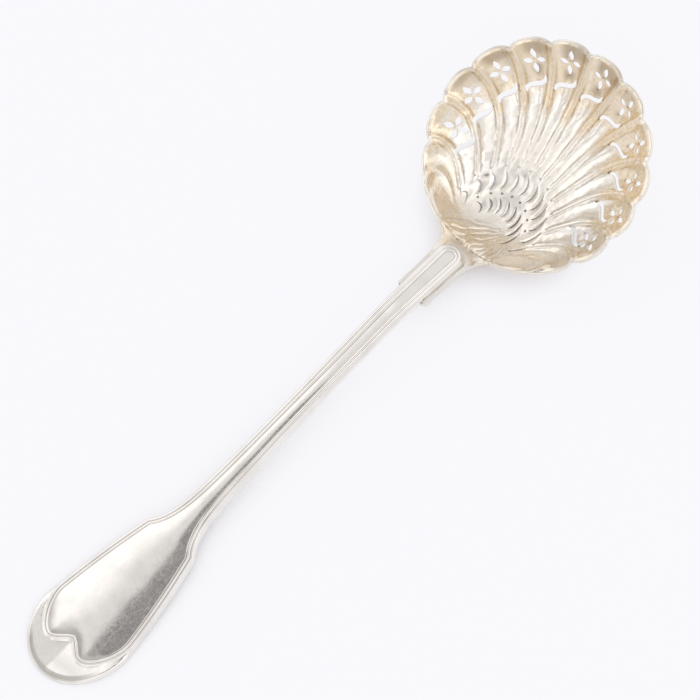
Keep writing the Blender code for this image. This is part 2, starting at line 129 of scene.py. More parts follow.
def ribbon(path: Array, widths: Array) -> Array:
    """A closed loop of changing width about an open path, pointed at both ends.

    Args:
        path: Plan points of the middle line.
        widths: Full width at each of them; the two ends are points whatever it says.

    Returns:
        The loop's plan points: half the width to each side of the path, square to it.
    """
    across = left_of(np.gradient(path, axis=0))
    left = path + across * widths[:, None] / 2
    right = path - across * widths[:, None] / 2
    return np.concatenate([path[:1], right[1:-1], path[-1:], left[-2:0:-1]])


def inset_loop(loop: Array, distance: float) -> Array:
    """An anticlockwise loop moved inwards by a distance, with mitred corners.

    Args:
        loop: Plan points.
        distance: How far inwards each side moves.

    Returns:
        As many points: each moves along (n1 + n2) / (1 + n1.n2), n1 and n2 the normals of its two sides.
    """
    first = left_of(loop - np.roll(loop, 1, axis=0))
    second = left_of(np.roll(loop, -1, axis=0) - loop)
    mitre = (first + second) / (1 + np.sum(first * second, axis=-1, keepdims=True))
    return loop + distance * mitre


def inside(points: Array, loop: Array) -> Array:
    """Whether each plan point lies in a closed loop, by counting the sides to its right.

    Args:
        points: Plan points to test.
        loop: Corners of the loop.

    Returns:
        One truth value per point.
    """
    within = np.all((points >= loop.min(axis=0)) & (points <= loop.max(axis=0)), axis=1)
    found = np.zeros(len(points), bool)
    x, y = points[within, 0, None], points[within, 1, None]
    x0, y0 = loop[:, 0], loop[:, 1]
    x1, y1 = np.roll(x0, -1), np.roll(y0, -1)
    spans = (y0 > y) != (y1 > y)
    rise = np.where(y1 == y0, 1.0, y1 - y0)
    found[within] = np.sum(spans & (x < x0 + (y - y0) * (x1 - x0) / rise), axis=1) % 2 == 1
    return found


def distance_to(points: Array, loop: Array, closed: bool = True) -> Array:
    """Distance of each plan point from the nearest side of a loop or line.

    Args:
        points: Plan points.
        loop: Corners in order.
        closed: Whether the last corner is joined to the first.

    Returns:
        One distance per point, worked out block by block to keep the arrays small.
    """
    ends = np.roll(loop, -1, axis=0) if closed else loop[1:]
    starts = loop if closed else loop[:-1]
    side = ends - starts
    length = np.maximum(np.sum(side * side, axis=1), 1e-12)
    nearest = np.full(len(points), np.inf)
    block = 4000
    for first in range(0, len(points), block):
        part = points[first : first + block, None]
        share = np.clip(np.sum((part - starts) * side, axis=2) / length, 0.0, 1.0)
        gaps = np.linalg.norm(part - starts - share[..., None] * side, axis=2)
        nearest[first : first + block] = gaps.min(axis=1)
    return nearest


def clear_of(points: Array, loops: list[Array], margin: float) -> Array:
    """The plan points that keep a margin from every loop and lie in none of them.

    Args:
        points: Plan points.
        loops: Closed loops to keep away from.
        margin: The least distance.

    Returns:
        The points that are kept.
    """
    keep = np.ones(len(points), bool)
    for loop in loops:
        low, high = loop.min(axis=0) - margin, loop.max(axis=0) + margin
        near = np.nonzero(keep & np.all((points > low) & (points < high), axis=1))[0]
        if len(near):
            close = distance_to(points[near], loop) < margin
            keep[near] = ~(close | inside(points[near], loop))
    return points[keep]


def ripple(x: Array, y: Array, wavelength: float, seed: int) -> Array:
    """A gentle unevenness, as hand work leaves: seven sine waves in seeded directions, summed.

    Args:
        x: First plan coordinate.
        y: Second plan coordinate.
        wavelength: Mean length of the waves.
        seed: Picks directions, lengths and phases.

    Returns:
        Heights of about -1 to 1.
    """
    waves = 7
    draw = np.random.default_rng(seed)
    total = np.zeros_like(x)
    for _ in range(waves):
        turn, phase = draw.uniform(0.0, 2 * math.pi, 2)
        number = 2 * math.pi / (wavelength * draw.uniform(0.7, 1.4))
        total += np.sin(number * (x * math.cos(turn) + y * math.sin(turn)) + phase)
    return total / (waves / 2)


# Closed bodies from plan sheets


class Rounding(Enum):
    """How the edge between a body's two faces is made; the value is how many rows of points round it."""

    SAWN = 0
    FILED = 3
    POLISHED = 6


@dataclass
class Sheet:
    """A plan outline with holes in it, triangulated through loose points."""

    outline: Array
    holes: list[Array]
    points: Array
    plan: Array = field(init=False)
    triangles: Array = field(init=False)
    rings: list[Array] = field(init=False)

    def __post_init__(self) -> None:
        """Triangulate, drop what lies outside the outline or in a hole, and note each loop's vertices."""
        loops = [self.outline, *self.holes]
        starts = np.cumsum([0] + [len(loop) for loop in loops])
        edges = []
        for start, loop in zip(starts, loops):
            ring = np.arange(len(loop)) + start
            edges += columns(ring, np.roll(ring, -1)).tolist()
        flat = np.concatenate([*loops, self.points])
        within_edges, merge_below = 1, 1e-7
        made = delaunay_2d_cdt(flat.tolist(), edges, [], within_edges, merge_below)
        self.plan = np.array(made[0], float)
        triangles = np.array(made[2])
        came_from = np.array([ids[0] if ids else -1 for ids in made[3]])
        number = np.full(len(flat), -1)
        number[came_from[came_from >= 0]] = np.nonzero(came_from >= 0)[0]
        self.rings = [number[a:b] for a, b in zip(starts[:-1], starts[1:])]
        middle = self.plan[triangles].mean(axis=1)
        keep = inside(middle, self.outline)
        for hole in self.holes:
            keep &= ~inside(middle, hole)
        self.triangles = triangles[keep]


@dataclass
class Body:
    """A closed body between an upper and a lower sheet that share their outline and holes."""

    upper: Sheet
    lower: Sheet
    top: Array
    bottom: Array
    rim_bulge: float
    rim: Rounding
    vertices: list[Array] = field(init=False)
    faces: list[list[int]] = field(init=False)
    plan: list[Array] = field(init=False)

    def __post_init__(self) -> None:
        """Join the two faces by a rounded wall round the outline and a plain one in each hole."""
        shift = len(self.top)
        self.vertices = [self.top, self.bottom]
        self.plan = [self.upper.plan, self.lower.plan]
        self.faces = self.upper.triangles.tolist() + (self.lower.triangles[:, ::-1] + shift).tolist()
        self._wall(self.upper.rings[0], self.lower.rings[0] + shift, self.rim, self.rim_bulge, False)
        for high, low in zip(self.upper.rings[1:], self.lower.rings[1:]):
            self._wall(high, low + shift, Rounding.SAWN, 0.0, True)

    def _wall(self, high: Array, low: Array, rounding: Rounding, bulge: float, hole: bool) -> None:
        """Faces between two rings of vertices, swollen by bulge times sin(pi t), t the share of the rows.

        Args:
            high: Vertex numbers of the upper ring.
            low: Vertex numbers of the lower ring.
            rounding: How many rows there are between them.
            bulge: Greatest swelling.
            hole: Whether the ring bounds a hole, whose wall faces its middle.
        """
        start = self.vertices[0][high]
        end = self.vertices[1][low - len(self.top)]
        along = np.roll(start, -1, axis=0) - np.roll(start, 1, axis=0)
        outward = np.cross(along, start - end)
        outward /= np.maximum(np.linalg.norm(outward, axis=1, keepdims=True), 1e-9)
        rows = [high]
        count = sum(len(part) for part in self.vertices)
        for row in range(1, rounding.value + 1):
            share = (1 - math.cos(math.pi * row / (rounding.value + 1))) / 2
            swell = bulge * math.sin(math.pi * row / (rounding.value + 1))
            self.vertices.append(start + (end - start) * share + outward * swell)
            self.plan.append(self.plan[0][high])
            rows.append(np.arange(len(high)) + count)
            count += len(high)
        rows.append(low)
        for upper, lower in zip(rows[:-1], rows[1:]):
            quad = [lower, np.roll(lower, -1), np.roll(upper, -1), upper]
            self.faces += columns(*(quad[::-1] if hole else quad)).tolist()

    def object(self, name: str, place: "Place") -> bpy.types.Object:
        """The body as an object at the origin, with its place in its mesh.

        Args:
            name: The piece's name.
            place: Turns maker's millimetres into metres in the part's frame.

        Returns:
            The new object, shaded smooth but for its edges.
        """
        mesh = bpy.data.meshes.new(name)
        mesh.from_pydata(place.metres(np.concatenate(self.vertices)).tolist(), [], self.faces)
        mesh.shade_smooth()
        mesh.set_sharp_from_angle(angle=SHARP_EDGE)
        made = bpy.data.objects.new(name, mesh)
        bpy.context.scene.collection.objects.link(made)
        return made


@dataclass(frozen=True)
class Place:
    """Where a maker's frame lies in the part's frame: pitched about the heel, lifted and shifted."""

    pitch: float
    lift: float
    shift: float

    def metres(self, points: Array) -> Array:
        """Points of the maker's frame in the part's frame, in metres.

        Args:
            points: Rows of x, y and z in millimetres.

        Returns:
            Rows of x cos p - z sin p + shift, y, and x sin p + z cos p + lift, p the pitch.
        """
        cos, sin = math.cos(self.pitch), math.sin(self.pitch)
        x = points[:, 0] * cos - points[:, 2] * sin + self.shift
        z = points[:, 0] * sin + points[:, 2] * cos + self.lift
        return columns(x, points[:, 1], z) * METRES_PER_MM


def paint(piece: bpy.types.Object, name: str, values: Array) -> None:
    """Store one number per vertex, for the piece's finish to read."""
    layer = piece.data.attributes.new(name, "FLOAT", "POINT")
    layer.data.foreach_set("value", values.astype(np.float32))


# Finishes
# Inputs by number: in Mix, i0 is the share and i6 and i7 the two colours; in Map Range, i1 and i2 are the
# lowest and highest value read, and i3 and i4 what they become.

RGBA = {"data_type": "RGBA"}


def linear(hex_colour: str) -> tuple[float, float, float, float]:
    """An sRGB hex colour as linear red, green, blue and alpha."""
    parts = [int(hex_colour[i : i + 2], 16) / 255 for i in (1, 3, 5)]
    return (*(p / 12.92 if p <= 0.04045 else ((p + 0.055) / 1.055) ** 2.4 for p in parts), 1.0)


def per_metre(size_mm: float) -> float:
    """Texture scale at which one feature is that many millimetres across."""
    return 1.0 / (size_mm * METRES_PER_MM)


class Nodes:
    """A node tree that is built by naming nodes, their settings and what feeds them."""

    def __init__(self, tree: bpy.types.NodeTree) -> None:
        """Keep the tree."""
        self.tree = tree

    def add(self, kind: str, settings: dict | None = None, **inputs: object) -> bpy.types.Node:
        """Add one node.

        Args:
            kind: The node's type name, such as ShaderNodeMath.
            settings: Its own properties.
            **inputs: Values or output sockets by input name; a name in the form i3 is the input's number.

        Returns:
            The new node.
        """
        node = self.tree.nodes.new(kind)
        for key, value in (settings or {}).items():
            setattr(node, key, value)
        self.feed(node, **inputs)
        return node

    def feed(self, node: bpy.types.Node, **inputs: object) -> None:
        """Set or link the inputs of a node.

        Args:
            node: The node.
            **inputs: Values or output sockets, given as in add.
        """
        for key, value in inputs.items():
            numbered = key[0] == "i" and key[1:].isdigit()
            socket = node.inputs[int(key[1:])] if numbered else node.inputs[key.replace("_", " ")]
            if isinstance(value, bpy.types.NodeSocket):
                self.tree.links.new(value, socket)
            else:
                socket.default_value = value


def new_metal(name: str) -> tuple[bpy.types.Material, Nodes, bpy.types.Node]:
    """A bare metal to work on.

    Args:
        name: The material's name.

    Returns:
        Its material, its node tree and its shader.
    """
    material = bpy.data.materials.new(name)
    material.use_nodes = True
    n = Nodes(material.node_tree)
    shader = n.tree.nodes["Principled BSDF"]
    n.feed(shader, Metallic=1.0)
    return material, n, shader


def scratches(n: Nodes, where: bpy.types.NodeSocket, long_mm: float, wide_mm: float) -> bpy.types.NodeSocket:
    """Fine scratches that cross each other in three directions, as wiping and use leave them.

    Args:
        n: The tree to add to.
        where: Object coordinates.
        long_mm: Their mean length.
        wide_mm: Their mean width, drawn several times wider than real hairlines so that they show at all.

    Returns:
        A socket that is 1 on a scratch and 0 beside it.
    """
    pull = (per_metre(long_mm), per_metre(wide_mm), per_metre(long_mm))
    directions = (0.35, 1.5, 2.5)
    total = 0.0
    for turn in directions:
        turned_to = n.add("ShaderNodeVectorRotate", {"rotation_type": "Z_AXIS"}, Vector=where, Angle=turn)
        pulled = n.add("ShaderNodeVectorMath", {"operation": "MULTIPLY"}, i0=turned_to.outputs[0], i1=pull)
        noise = n.add("ShaderNodeTexNoise", Vector=pulled.outputs[0], Scale=1.0, Detail=3.0)
        line = n.add("ShaderNodeMapRange", Value=noise.outputs["Fac"], i1=0.58, i2=0.72).outputs[0]
        total = n.add("ShaderNodeMath", {"operation": "MAXIMUM"}, i0=total, i1=line).outputs[0]
    return total


@dataclass(frozen=True)
class SilverFinish:
    """Sterling silver, forged, polished and used for a long time.

    It gives the eye a near-white neutral mirror, softened by a haze of hairline scratches in all
    directions, with a faint grey film of tarnish in patches, and dark lines in the hollows that are painted
    shade with some tarnish.
    """

    name: str = "worn_polished_silver"
    bright: str = "#F4F2EF"
    film: str = "#DBD9D5"
    # Colour of tarnish and of painted shade in the hollows
    sulphide_and_shade: str = "#8C867D"
    roughness: float = 0.1
    scratch_roughness: float = 0.1
    film_mm: float = 6.0
    film_share: float = 0.5
    scratch_mm: tuple[float, float] = (1.4, 0.12)
    scratch_depth_mm: float = 0.01

    def material(self) -> bpy.types.Material:
        """Lay the film, the tarnish and painted shade in the hollows, and the scratches over bright silver.

        Returns:
            A material that reads Object coordinates and the hollow attribute.
        """
        material, n, shader = new_metal(self.name)
        where = n.add("ShaderNodeTexCoord").outputs["Object"]
        hollow = n.add("ShaderNodeAttribute", {"attribute_name": "hollow"}).outputs["Fac"]
        cloud = n.add("ShaderNodeTexNoise", Vector=where, Scale=per_metre(self.film_mm), Detail=5.0)
        film = n.add("ShaderNodeMapRange", Value=cloud.outputs["Fac"], i1=0.45, i2=0.75, i4=self.film_share)
        bright, dull, dark = (linear(colour) for colour in (self.bright, self.film, self.sulphide_and_shade))
        colour = n.add("ShaderNodeMix", RGBA, i0=film.outputs[0], i6=bright, i7=dull)
        # Tarnish and painted shade in the hollows darken the colour
        colour = n.add("ShaderNodeMix", RGBA, i0=hollow, i6=colour.outputs[2], i7=dark)
        line = scratches(n, where, *self.scratch_mm)
        scratched = self.roughness + self.scratch_roughness
        rough = n.add("ShaderNodeMapRange", Value=line, i3=self.roughness, i4=scratched)
        depth = self.scratch_depth_mm * METRES_PER_MM
        bump = n.add("ShaderNodeBump", {"invert": True}, Strength=0.35, Distance=depth, Height=line)
        n.feed(shader, Base_Color=colour.outputs[2], Roughness=rough.outputs[0], Normal=bump.outputs[0])
        return material


@dataclass(frozen=True)
class GiltFinish:
    """Parcel-gilt silver: a thin wash of pale gold, brushed on and burnished, half worn away.

    It gives the eye champagne gold in the lobes and at the heel, mottled tan where it has tarnished,
    darker tan and grey where shade is painted into the colour, and bare grey-white silver in the
    flutes and on the floor, where a spoon is wiped.
    """

    name: str = "worn_gilt_silver"
    silver: str = "#F5F2EC"
    gold: str = "#F5E6CE"
    # Colours of tarnish and of painted shade, over gold and over silver
    tarnish_and_shade: str = "#A8957C"
    sulphide_and_shade: str = "#9C918A"
    roughness: float = 0.07
    speck_roughness: float = 0.08
    wiped_roughness: float = 0.22
    patch_mm: float = 4.0
    speck_mm: float = 1.0
    speck_depth_mm: float = 0.02
    stain_share: float = 0.38
    scratch_mm: tuple[float, float] = (1.4, 0.12)

    def material(self) -> bpy.types.Material:
        """Lay patchy gold over silver, then stains, tarnish and painted shade, then specks and scratches.

        Returns:
            A material that reads Object coordinates and the gilt, hollow and worn attributes.
        """
        material, n, shader = new_metal(self.name)
        where = n.add("ShaderNodeTexCoord").outputs["Object"]
        names = ("gilt", "hollow", "worn")
        read = [n.add("ShaderNodeAttribute", {"attribute_name": name}).outputs["Fac"] for name in names]
        gilt, hollow, worn = read
        fine = {"Detail": 6.0, "Roughness": 0.65}
        patch = n.add("ShaderNodeTexNoise", Vector=where, Scale=per_metre(self.patch_mm), **fine)
        wear = n.add("ShaderNodeMapRange", Value=patch.outputs["Fac"], i1=0.3, i2=0.7, i3=-0.3, i4=0.2)
        share = n.add("ShaderNodeMath", {"use_clamp": True}, i0=gilt, i1=wear.outputs[0]).outputs[0]
        base = n.add("ShaderNodeMix", RGBA, i0=share, i6=linear(self.silver), i7=linear(self.gold))
        speck = n.add("ShaderNodeTexNoise", Vector=where, Scale=per_metre(self.speck_mm), **fine)
        speck = speck.outputs["Fac"]
        stain = n.add("ShaderNodeMapRange", Value=speck, i1=0.4, i2=0.75, i3=0.0, i4=self.stain_share)
        marked = n.add("ShaderNodeMath", {"operation": "MULTIPLY_ADD"}, i0=share, i1=0.7, i2=0.3)
        stain = n.add("ShaderNodeMath", {"operation": "MULTIPLY"}, i0=stain.outputs[0], i1=marked.outputs[0])
        # The hollow attribute brings in tarnish and painted shade
        stain = n.add("ShaderNodeMath", {"operation": "MAXIMUM"}, i0=stain.outputs[0], i1=hollow)
        soil_and_shade = n.add("ShaderNodeMix", RGBA, i0=share, i6=linear(self.sulphide_and_shade), i7=linear(self.tarnish_and_shade))
        colour = n.add("ShaderNodeMix", RGBA, i0=stain.outputs[0], i6=base.outputs[2], i7=soil_and_shade.outputs[2])
        line = scratches(n, where, *self.scratch_mm)
        pitted = self.roughness + self.speck_roughness
        rough = n.add("ShaderNodeMapRange", Value=speck, i1=0.3, i2=0.75, i3=self.roughness, i4=pitted)
        wiped = {"operation": "MULTIPLY_ADD"}
        rough = n.add("ShaderNodeMath", wiped, i0=worn, i1=self.wiped_roughness, i2=rough.outputs[0])
        height = n.add("ShaderNodeMath", {"operation": "SUBTRACT"}, i0=speck, i1=line)
        depth = self.speck_depth_mm * METRES_PER_MM
        bump = n.add("ShaderNodeBump", Strength=0.3, Distance=depth, Height=height.outputs[0])
        n.feed(shader, Base_Color=colour.outputs[2], Roughness=rough.outputs[0], Normal=bump.outputs[0])
        return material


# The bowl


@dataclass(frozen=True)
class SlitRow:
    """One row of crescent slits on the bowl's floor, each with a drilled dot at its outer end."""

    lobes: Array
    inner: float
    outer: float
    bow: float
    bow_start: float
    bow_run: float
    dot_beyond: float = 0.022

    def drift(self, way: Array) -> Array:
        """Lobes from a dot's line to its slit, negative to the right: bow times the sine of a part turn."""
        share = np.clip((way - self.inner) / (self.outer - self.inner), 0.0, 1.0)
        return -self.bow * np.sin(math.pi * (self.bow_start + self.bow_run * (1 - share)))

    def turn(self, way: Array, lobe: Array) -> Array:
        """Which slit lies to the right of a point, plus the share of the way to the next slit."""
        return np.interp(lobe - self.drift(way), self.lobes, np.arange(len(self.lobes)))


@dataclass
class Bowl:
    """The shell bowl with its tang, in the plane of its rim."""

    # Dish and heel
    radius: float = 29.9
    pitch: float = math.radians(24.0)
    depth: float = 14.5
    wall: float = 1.0
    heel_half_angle: float = math.radians(14.9)
    floor_shift: float = 10.9
    wall_power: float = 2.4
    side_ease: float = 0.6
    heel_dip: float = 2.0
    heel_blend: float = 1.4
    # Lobes and flutes
    lobe_pitch: float = math.radians(22.07)
    flowered_lobes: int = 11
    notch_depth: float = 1.5
    notch_power: float = 2.6
    flute_depth: float = 1.5
    flute_start: float = 0.34
    flute_full: float = 0.85
    fan_waist: float = 0.68
    fan_outer: float = 0.125
    plain_flute: float = 1.0
    # Twin fillets of a ridge
    fillet_height: float = 0.42
    fillet_apart: float = 0.44
    fillet_spread: float = 0.32
    fillet_flare: float = 0.35
    fillet_width: float = 0.25
    fillet_growth: float = 0.15
    # Rim, and the hammer's marks as height and wavelength
    rim_bulge: float = 0.22
    rim_roll: float = 0.26
    rim_roll_width: float = 0.75
    hammer_marks: tuple[float, float] = (0.09, 5.0)
    planish_marks: tuple[float, float] = (0.03, 2.0)
    # Pierced flowers and scrolls
    flower_inset: float = 4.7
    flower_drift: float = 0.25
    flower_hub: float = 0.32
    petals: int = 4
    petal_length: float = 2.75
    petal_width: float = 1.6
    scroll_back: float = 5.8
    scroll_rise: float = 2.6
    scroll_reach: float = 2.4
    scroll_hook: float = 1.4
    scroll_width: float = 1.45
    # Slits, dots and the tongues between them
    slit_width: float = 0.48
    slit_shift: float = 0.15
    inner_slits: int = 8
    inner_pitch: float = 1.11
    inner_shift: float = 0.2
    dot_radius: float = 0.36
    # Painted shade on the lower edges of the holes' walls
    hole_wall_shade: float = 0.5
    tongue_height: float = 0.46
    # Folds of the heel
    gather: tuple[float, float] = (10.0, -6.5)
    fold_count: float = 6.5
    fold_height: float = 0.4
    # Tang with its cheeks and seat, and the flat under the bowl
    tang_length: float = 20.9
    tang_seen: float = 18.2
    tang_step: float = 1.6
    tang_cheek: float = 1.7
    cheek_at: float = 3.92
    cheek_splay: float = 0.016
    tang_half_width: float = 4.5
    tang_flare: float = 2.6
    fin_start: float = 4.0
    fin_curl: float = 3.1
    seat_run: float = 3.0
    seat_slope: float = math.radians(5.5)
    base_flat: float = 0.3

    def __post_init__(self) -> None:
        """Work out the centre of the rim, the umbo where the fan springs from, and the heel's height."""
        self.rim_centre = self.radius * math.cos(self.heel_half_angle)
        self.umbo = self.rim_centre - self.radius
        self.floor = self.rim_centre - self.floor_shift
        self.last_ridge = self.flowered_lobes / 2
        ridges = np.arange(-self.last_ridge, self.last_ridge + 1)
        from_middle = np.arange(self.inner_slits) - (self.inner_slits - 1) / 2
        inner = self.inner_shift + self.inner_pitch * from_middle
        self.slit_rows = (
            SlitRow(ridges + self.slit_shift, inner=0.295, outer=0.39, bow=0.6, bow_start=0.05, bow_run=0.72),
            SlitRow(inner, inner=0.181, outer=0.256, bow=0.78, bow_start=0.0, bow_run=0.68),
        )
        x = np.linspace(0.0, self.rim_centre, 400)
        flat = np.zeros_like(x)
        outer = columns(x, flat, -self.plain_depth(x, flat)) - self.wall * self.normals(x, flat)
        lowest = (outer[:, 0] * math.sin(self.pitch) + outer[:, 2] * math.cos(self.pitch)).min()
        self.heel_height = -lowest - self.base_flat

    def fan_spread(self, way: Array, lobe: Array) -> Array:
        """How far apart the fan's lines are, 1 at umbo and rim and the waist's share half way.

        Args:
            way: 0 at the umbo, 1 at the rim.
            lobe: Which line, counted in lobes from the axis to the left.

        Returns:
            The spread: a parabola along the line, and the outer lines of the fan draw in less.
        """
        way = np.minimum(way, 1.0)
        outer = np.clip((np.abs(lobe) - 2.5) / 3.0, 0.0, 1.0) ** 1.5
        waist = self.fan_waist + (1 - self.fan_waist) * (2 * way - 1) ** 2
        return waist + self.fan_outer * outer * (1 - way**6)

    def fan_place(self, way: Array, lobe: Array) -> Array:
        """Plan position of a point a share of the way from umbo to rim along one line of the fan.

        Args:
            way: 0 at the umbo, 1 at the rim.
            lobe: Which line, counted in lobes from the axis to the left.

        Returns:
            Plan points: the line's angle is lobe times half the lobe pitch times the spread, and way is
            the share of the chord at that angle through the umbo.
        """
        angle = lobe * self.lobe_pitch / 2 * self.fan_spread(way, lobe)
        reach = way * 2 * self.radius * np.cos(angle)
        return columns(self.umbo + reach * np.cos(angle), reach * np.sin(angle))

    def fan_coordinates(self, x: Array, y: Array) -> tuple[Array, Array]:
        """The inverse of fan_place: way and lobe of plan positions.

        Args:
            x: Plan position along the spoon.
            y: Plan position to the left.

        Returns:
            Way, the share of the chord through the umbo, and lobe, found by going round ten times.
        """
        angle = np.arctan2(y, x - self.umbo)
        chord = 2 * self.radius * np.maximum(np.cos(angle), 0.05)
        way = np.hypot(x - self.umbo, y) / chord
        lobe = np.zeros_like(way)
        for _ in range(10):
            lobe = angle / (self.lobe_pitch / 2 * self.fan_spread(way, lobe))
        return way, lobe

    def fan_facing(self, way: float, lobe: float) -> float:
        """Direction in which a line of the fan runs towards the rim.

        Args:
            way: 0 at the umbo, 1 at the rim.
            lobe: Which line of the fan, in lobes from the axis to the left.

        Returns:
            An angle from the X axis, from two points a little apart on the line.
        """
        step = 0.01
        run = self.fan_place(np.float64(way + step), lobe) - self.fan_place(np.float64(way - step), lobe)
        return math.atan2(run[1], run[0])

    def lobe_width(self, way: Array, lobe: Array) -> Array:
        """Width of a lobe, square to the fan's lines.

        Args:
            way: 0 at the umbo, 1 at the rim.
            lobe: Which line of the fan, in lobes from the axis to the left.

        Returns:
            Millimetres: the area between two near lines over the length along them.
        """
        step = 0.01
        across = (self.fan_place(way, lobe + step) - self.fan_place(way, lobe - step)) / (2 * step)
        ahead = self.fan_place(way + step, lobe) - self.fan_place(way - step, lobe)
        cross = across[..., 0] * ahead[..., 1] - across[..., 1] * ahead[..., 0]
        return np.abs(cross) / np.maximum(np.linalg.norm(ahead, axis=-1), 1e-9)

    def lobe_phase(self, lobe: Array, last: float) -> Array:
        """0 in the middle of a lobe and 0.5 on a ridge; beyond the last ridge it falls to 0."""
        plain = np.clip(last + 0.5 - np.abs(lobe), 0.0, 0.5)
        return np.where(np.abs(lobe) <= last, np.abs(lobe - np.round(lobe)), plain)

    def plain_depth(self, x: Array, y: Array) -> Array:
        """Depth of the unfluted sheet below the plane of the rim.

        Args:
            x: Plan position along the spoon.
            y: Plan position to the left.

        Returns:
            The smooth greater of two forms: a dish, depth times 1 - share^power, where share is the way
            from the deepest point to the rim and power is less at the sides, and the tang's sloping seat
            with its turned-up sides.
        """
        dx = x - self.floor
        reach = np.maximum(np.hypot(dx, y), 1e-6)
        along = -self.floor_shift * dx / reach
        to_rim = -along + np.sqrt(along**2 + self.radius**2 - self.floor_shift**2)
        power = self.wall_power - self.side_ease * (y / reach) ** 2
        dish = self.depth * (1 - (reach / to_rim) ** power)
        curl = np.maximum(np.abs(y) - self.fin_start, 0.0) ** 2 + np.maximum(x - self.seat_run, 0.0) ** 2
        seat = self.heel_dip + x * math.tan(self.pitch + self.seat_slope) - curl / (2 * self.fin_curl)
        over = dish - seat
        return seat + (over + np.sqrt(over**2 + self.heel_blend**2)) / 2

    def normals(self, x: Array, y: Array) -> Array:
        """Upward normals of the unfluted sheet, from its slopes over a tenth of a millimetre.

        Args:
            x: Plan position along the spoon.
            y: Plan position to the left.

        Returns:
            Unit vectors.
        """
        step = 0.05
        east = (self.plain_depth(x + step, y) - self.plain_depth(x - step, y)) / (2 * step)
        north = (self.plain_depth(x, y + step) - self.plain_depth(x, y - step)) / (2 * step)
        normals = columns(east, north, np.ones_like(x))
        return normals / np.linalg.norm(normals, axis=-1, keepdims=True)

    def flute(self, x: Array, y: Array) -> Array:
        """How much the flutes deepen the sheet.

        Args:
            x: Plan position along the spoon.
            y: Plan position to the left.

        Returns:
            Their depth, grown from floor to rim, times a half less a parabola that is 0 in the middle of a
            lobe and levels off towards its ridges.
        """
        way, lobe = self.fan_coordinates(x, y)
        last = self.last_ridge + self.plain_flute
        beyond = 1 - smoothstep(last - 0.5, last + 1.0, np.abs(lobe))
        growth = smoothstep(self.flute_start, self.flute_full, way) * beyond
        rise = (2 * self.lobe_phase(lobe, last)) ** 2
        flat, ease = 0.7, 0.14
        rounded = np.where(rise < flat, rise, flat + ease * (1 - np.exp(-(rise - flat) / ease)))
        return self.flute_depth * growth * (0.5 - rounded)

    def ridge_offset(self, way: Array, lobe: Array) -> Array:
        """Millimetres from the nearest ridge line, to its left; far away where there is no ridge."""
        ridge = np.clip(np.round(lobe - 0.5) + 0.5, -self.last_ridge, self.last_ridge)
        return (lobe - ridge) * self.lobe_width(way, lobe)

    def fillets(self, way: Array) -> tuple[Array, Array]:
        """Place and width of the two fillets of a ridge; both grow towards the rim.

        Args:
            way: 0 at the umbo, 1 at the rim.

        Returns:
            Millimetres from the ridge's line to each fillet, and its half width.
        """
        outward = smoothstep(0.42, 0.95, way)
        flare = self.fillet_flare * smoothstep(0.9, 1.0, way)
        apart = self.fillet_apart + self.fillet_spread * outward + flare
        return apart, self.fillet_width + self.fillet_growth * outward

    def ridge_relief(self, way: Array, lobe: Array) -> Array:
        """Relief of the ridges: two fillets with a groove between them, wider apart and softer at the rim.

        Args:
            way: 0 at the umbo, 1 at the rim.
            lobe: Which line of the fan, in lobes from the axis to the left.

        Returns:
            Heights: a bell across each fillet.
        """
        apart, wide = self.fillets(way)
        offset = np.abs(self.ridge_offset(way, lobe))
        growth = 0.6 + 0.3 * smoothstep(0.42, 0.7, way) - 0.5 * smoothstep(0.8, 0.95, way)
        growth = growth * smoothstep(0.35, 0.45, way)
        return self.fillet_height * growth * np.exp(-(((offset - apart) / wide) ** 2))

    def fold_phase(self, x: Array, y: Array) -> Array:
        """Which heel fold a point lies on, counted by its bearing from the point where they gather."""
        bearing = np.arctan2(y - self.gather[1], self.gather[0] - x)
        return self.fold_count * bearing + 0.3 * ripple(x, y, 5.0, seed=5)

    def fold_band(self, x: Array, y: Array) -> Array:
        """Where the heel is folded.

        Args:
            x: Plan position along the spoon.
            y: Plan position to the left.

        Returns:
            1 in the folds, fading at the channel, on the floor and at the side walls.
        """
        near = np.hypot(x - self.gather[0], y - self.gather[1])
        band = smoothstep(-2.6, 0.4, x) * smoothstep(3.5, 5.0, near) * smoothstep(7.4, 5.2, x + 0.4 * y)
        return band * smoothstep(10.5, 7.5, np.abs(y))

    def heel_folds(self, x: Array, y: Array) -> Array:
        """Drapery across the heel: the size of a half sine round the bearing, so valleys are sharp."""
        return self.fold_height * self.fold_band(x, y) * np.abs(np.sin(math.pi * self.fold_phase(x, y)))

    def tongues(self, way: Array, lobe: Array) -> tuple[Array, Array]:
        """Each tongue of the floor swells like a cushion between its slits, higher near the right one.

        Args:
            way: 0 at the umbo, 1 at the rim.
            lobe: Which line of the fan, counted in lobes from the axis to the left.

        Returns:
            The relief, a sine of the share across to the power 0.7, less a part of its height; and a share
            for painted shade that rises to 1 on the tongue's low side, beside its left slit.
        """
        relief, low_side_shade = np.zeros_like(way), np.zeros_like(way)
        for row in self.slit_rows:
            turn = row.turn(way, lobe)
            across = turn - np.floor(turn)
            swell = np.sin(math.pi * across**0.7)
            band = smoothstep(row.inner - 0.015, row.inner + 0.025, way)
            band *= smoothstep(row.outer + 0.012, row.outer - 0.03, way)
            ends = smoothstep(0.0, 0.2, turn) * smoothstep(len(row.lobes) - 1.0, len(row.lobes) - 1.2, turn)
            relief += self.tongue_height * band * ends * (swell - 0.4)
            # Painted shade, not relief: this share darkens the tongue's low side
            low_side_shade += band * ends * smoothstep(0.5, 0.92, across)
        return relief, low_side_shade

    def rim_radius(self, angle: Array) -> Array:
        """Distance of the lobed rim from its centre: the radius less a power of the way to a ridge."""
        phase = self.lobe_phase(angle / self.lobe_pitch, self.last_ridge)
        return self.radius - self.notch_depth * (2 * phase) ** self.notch_power

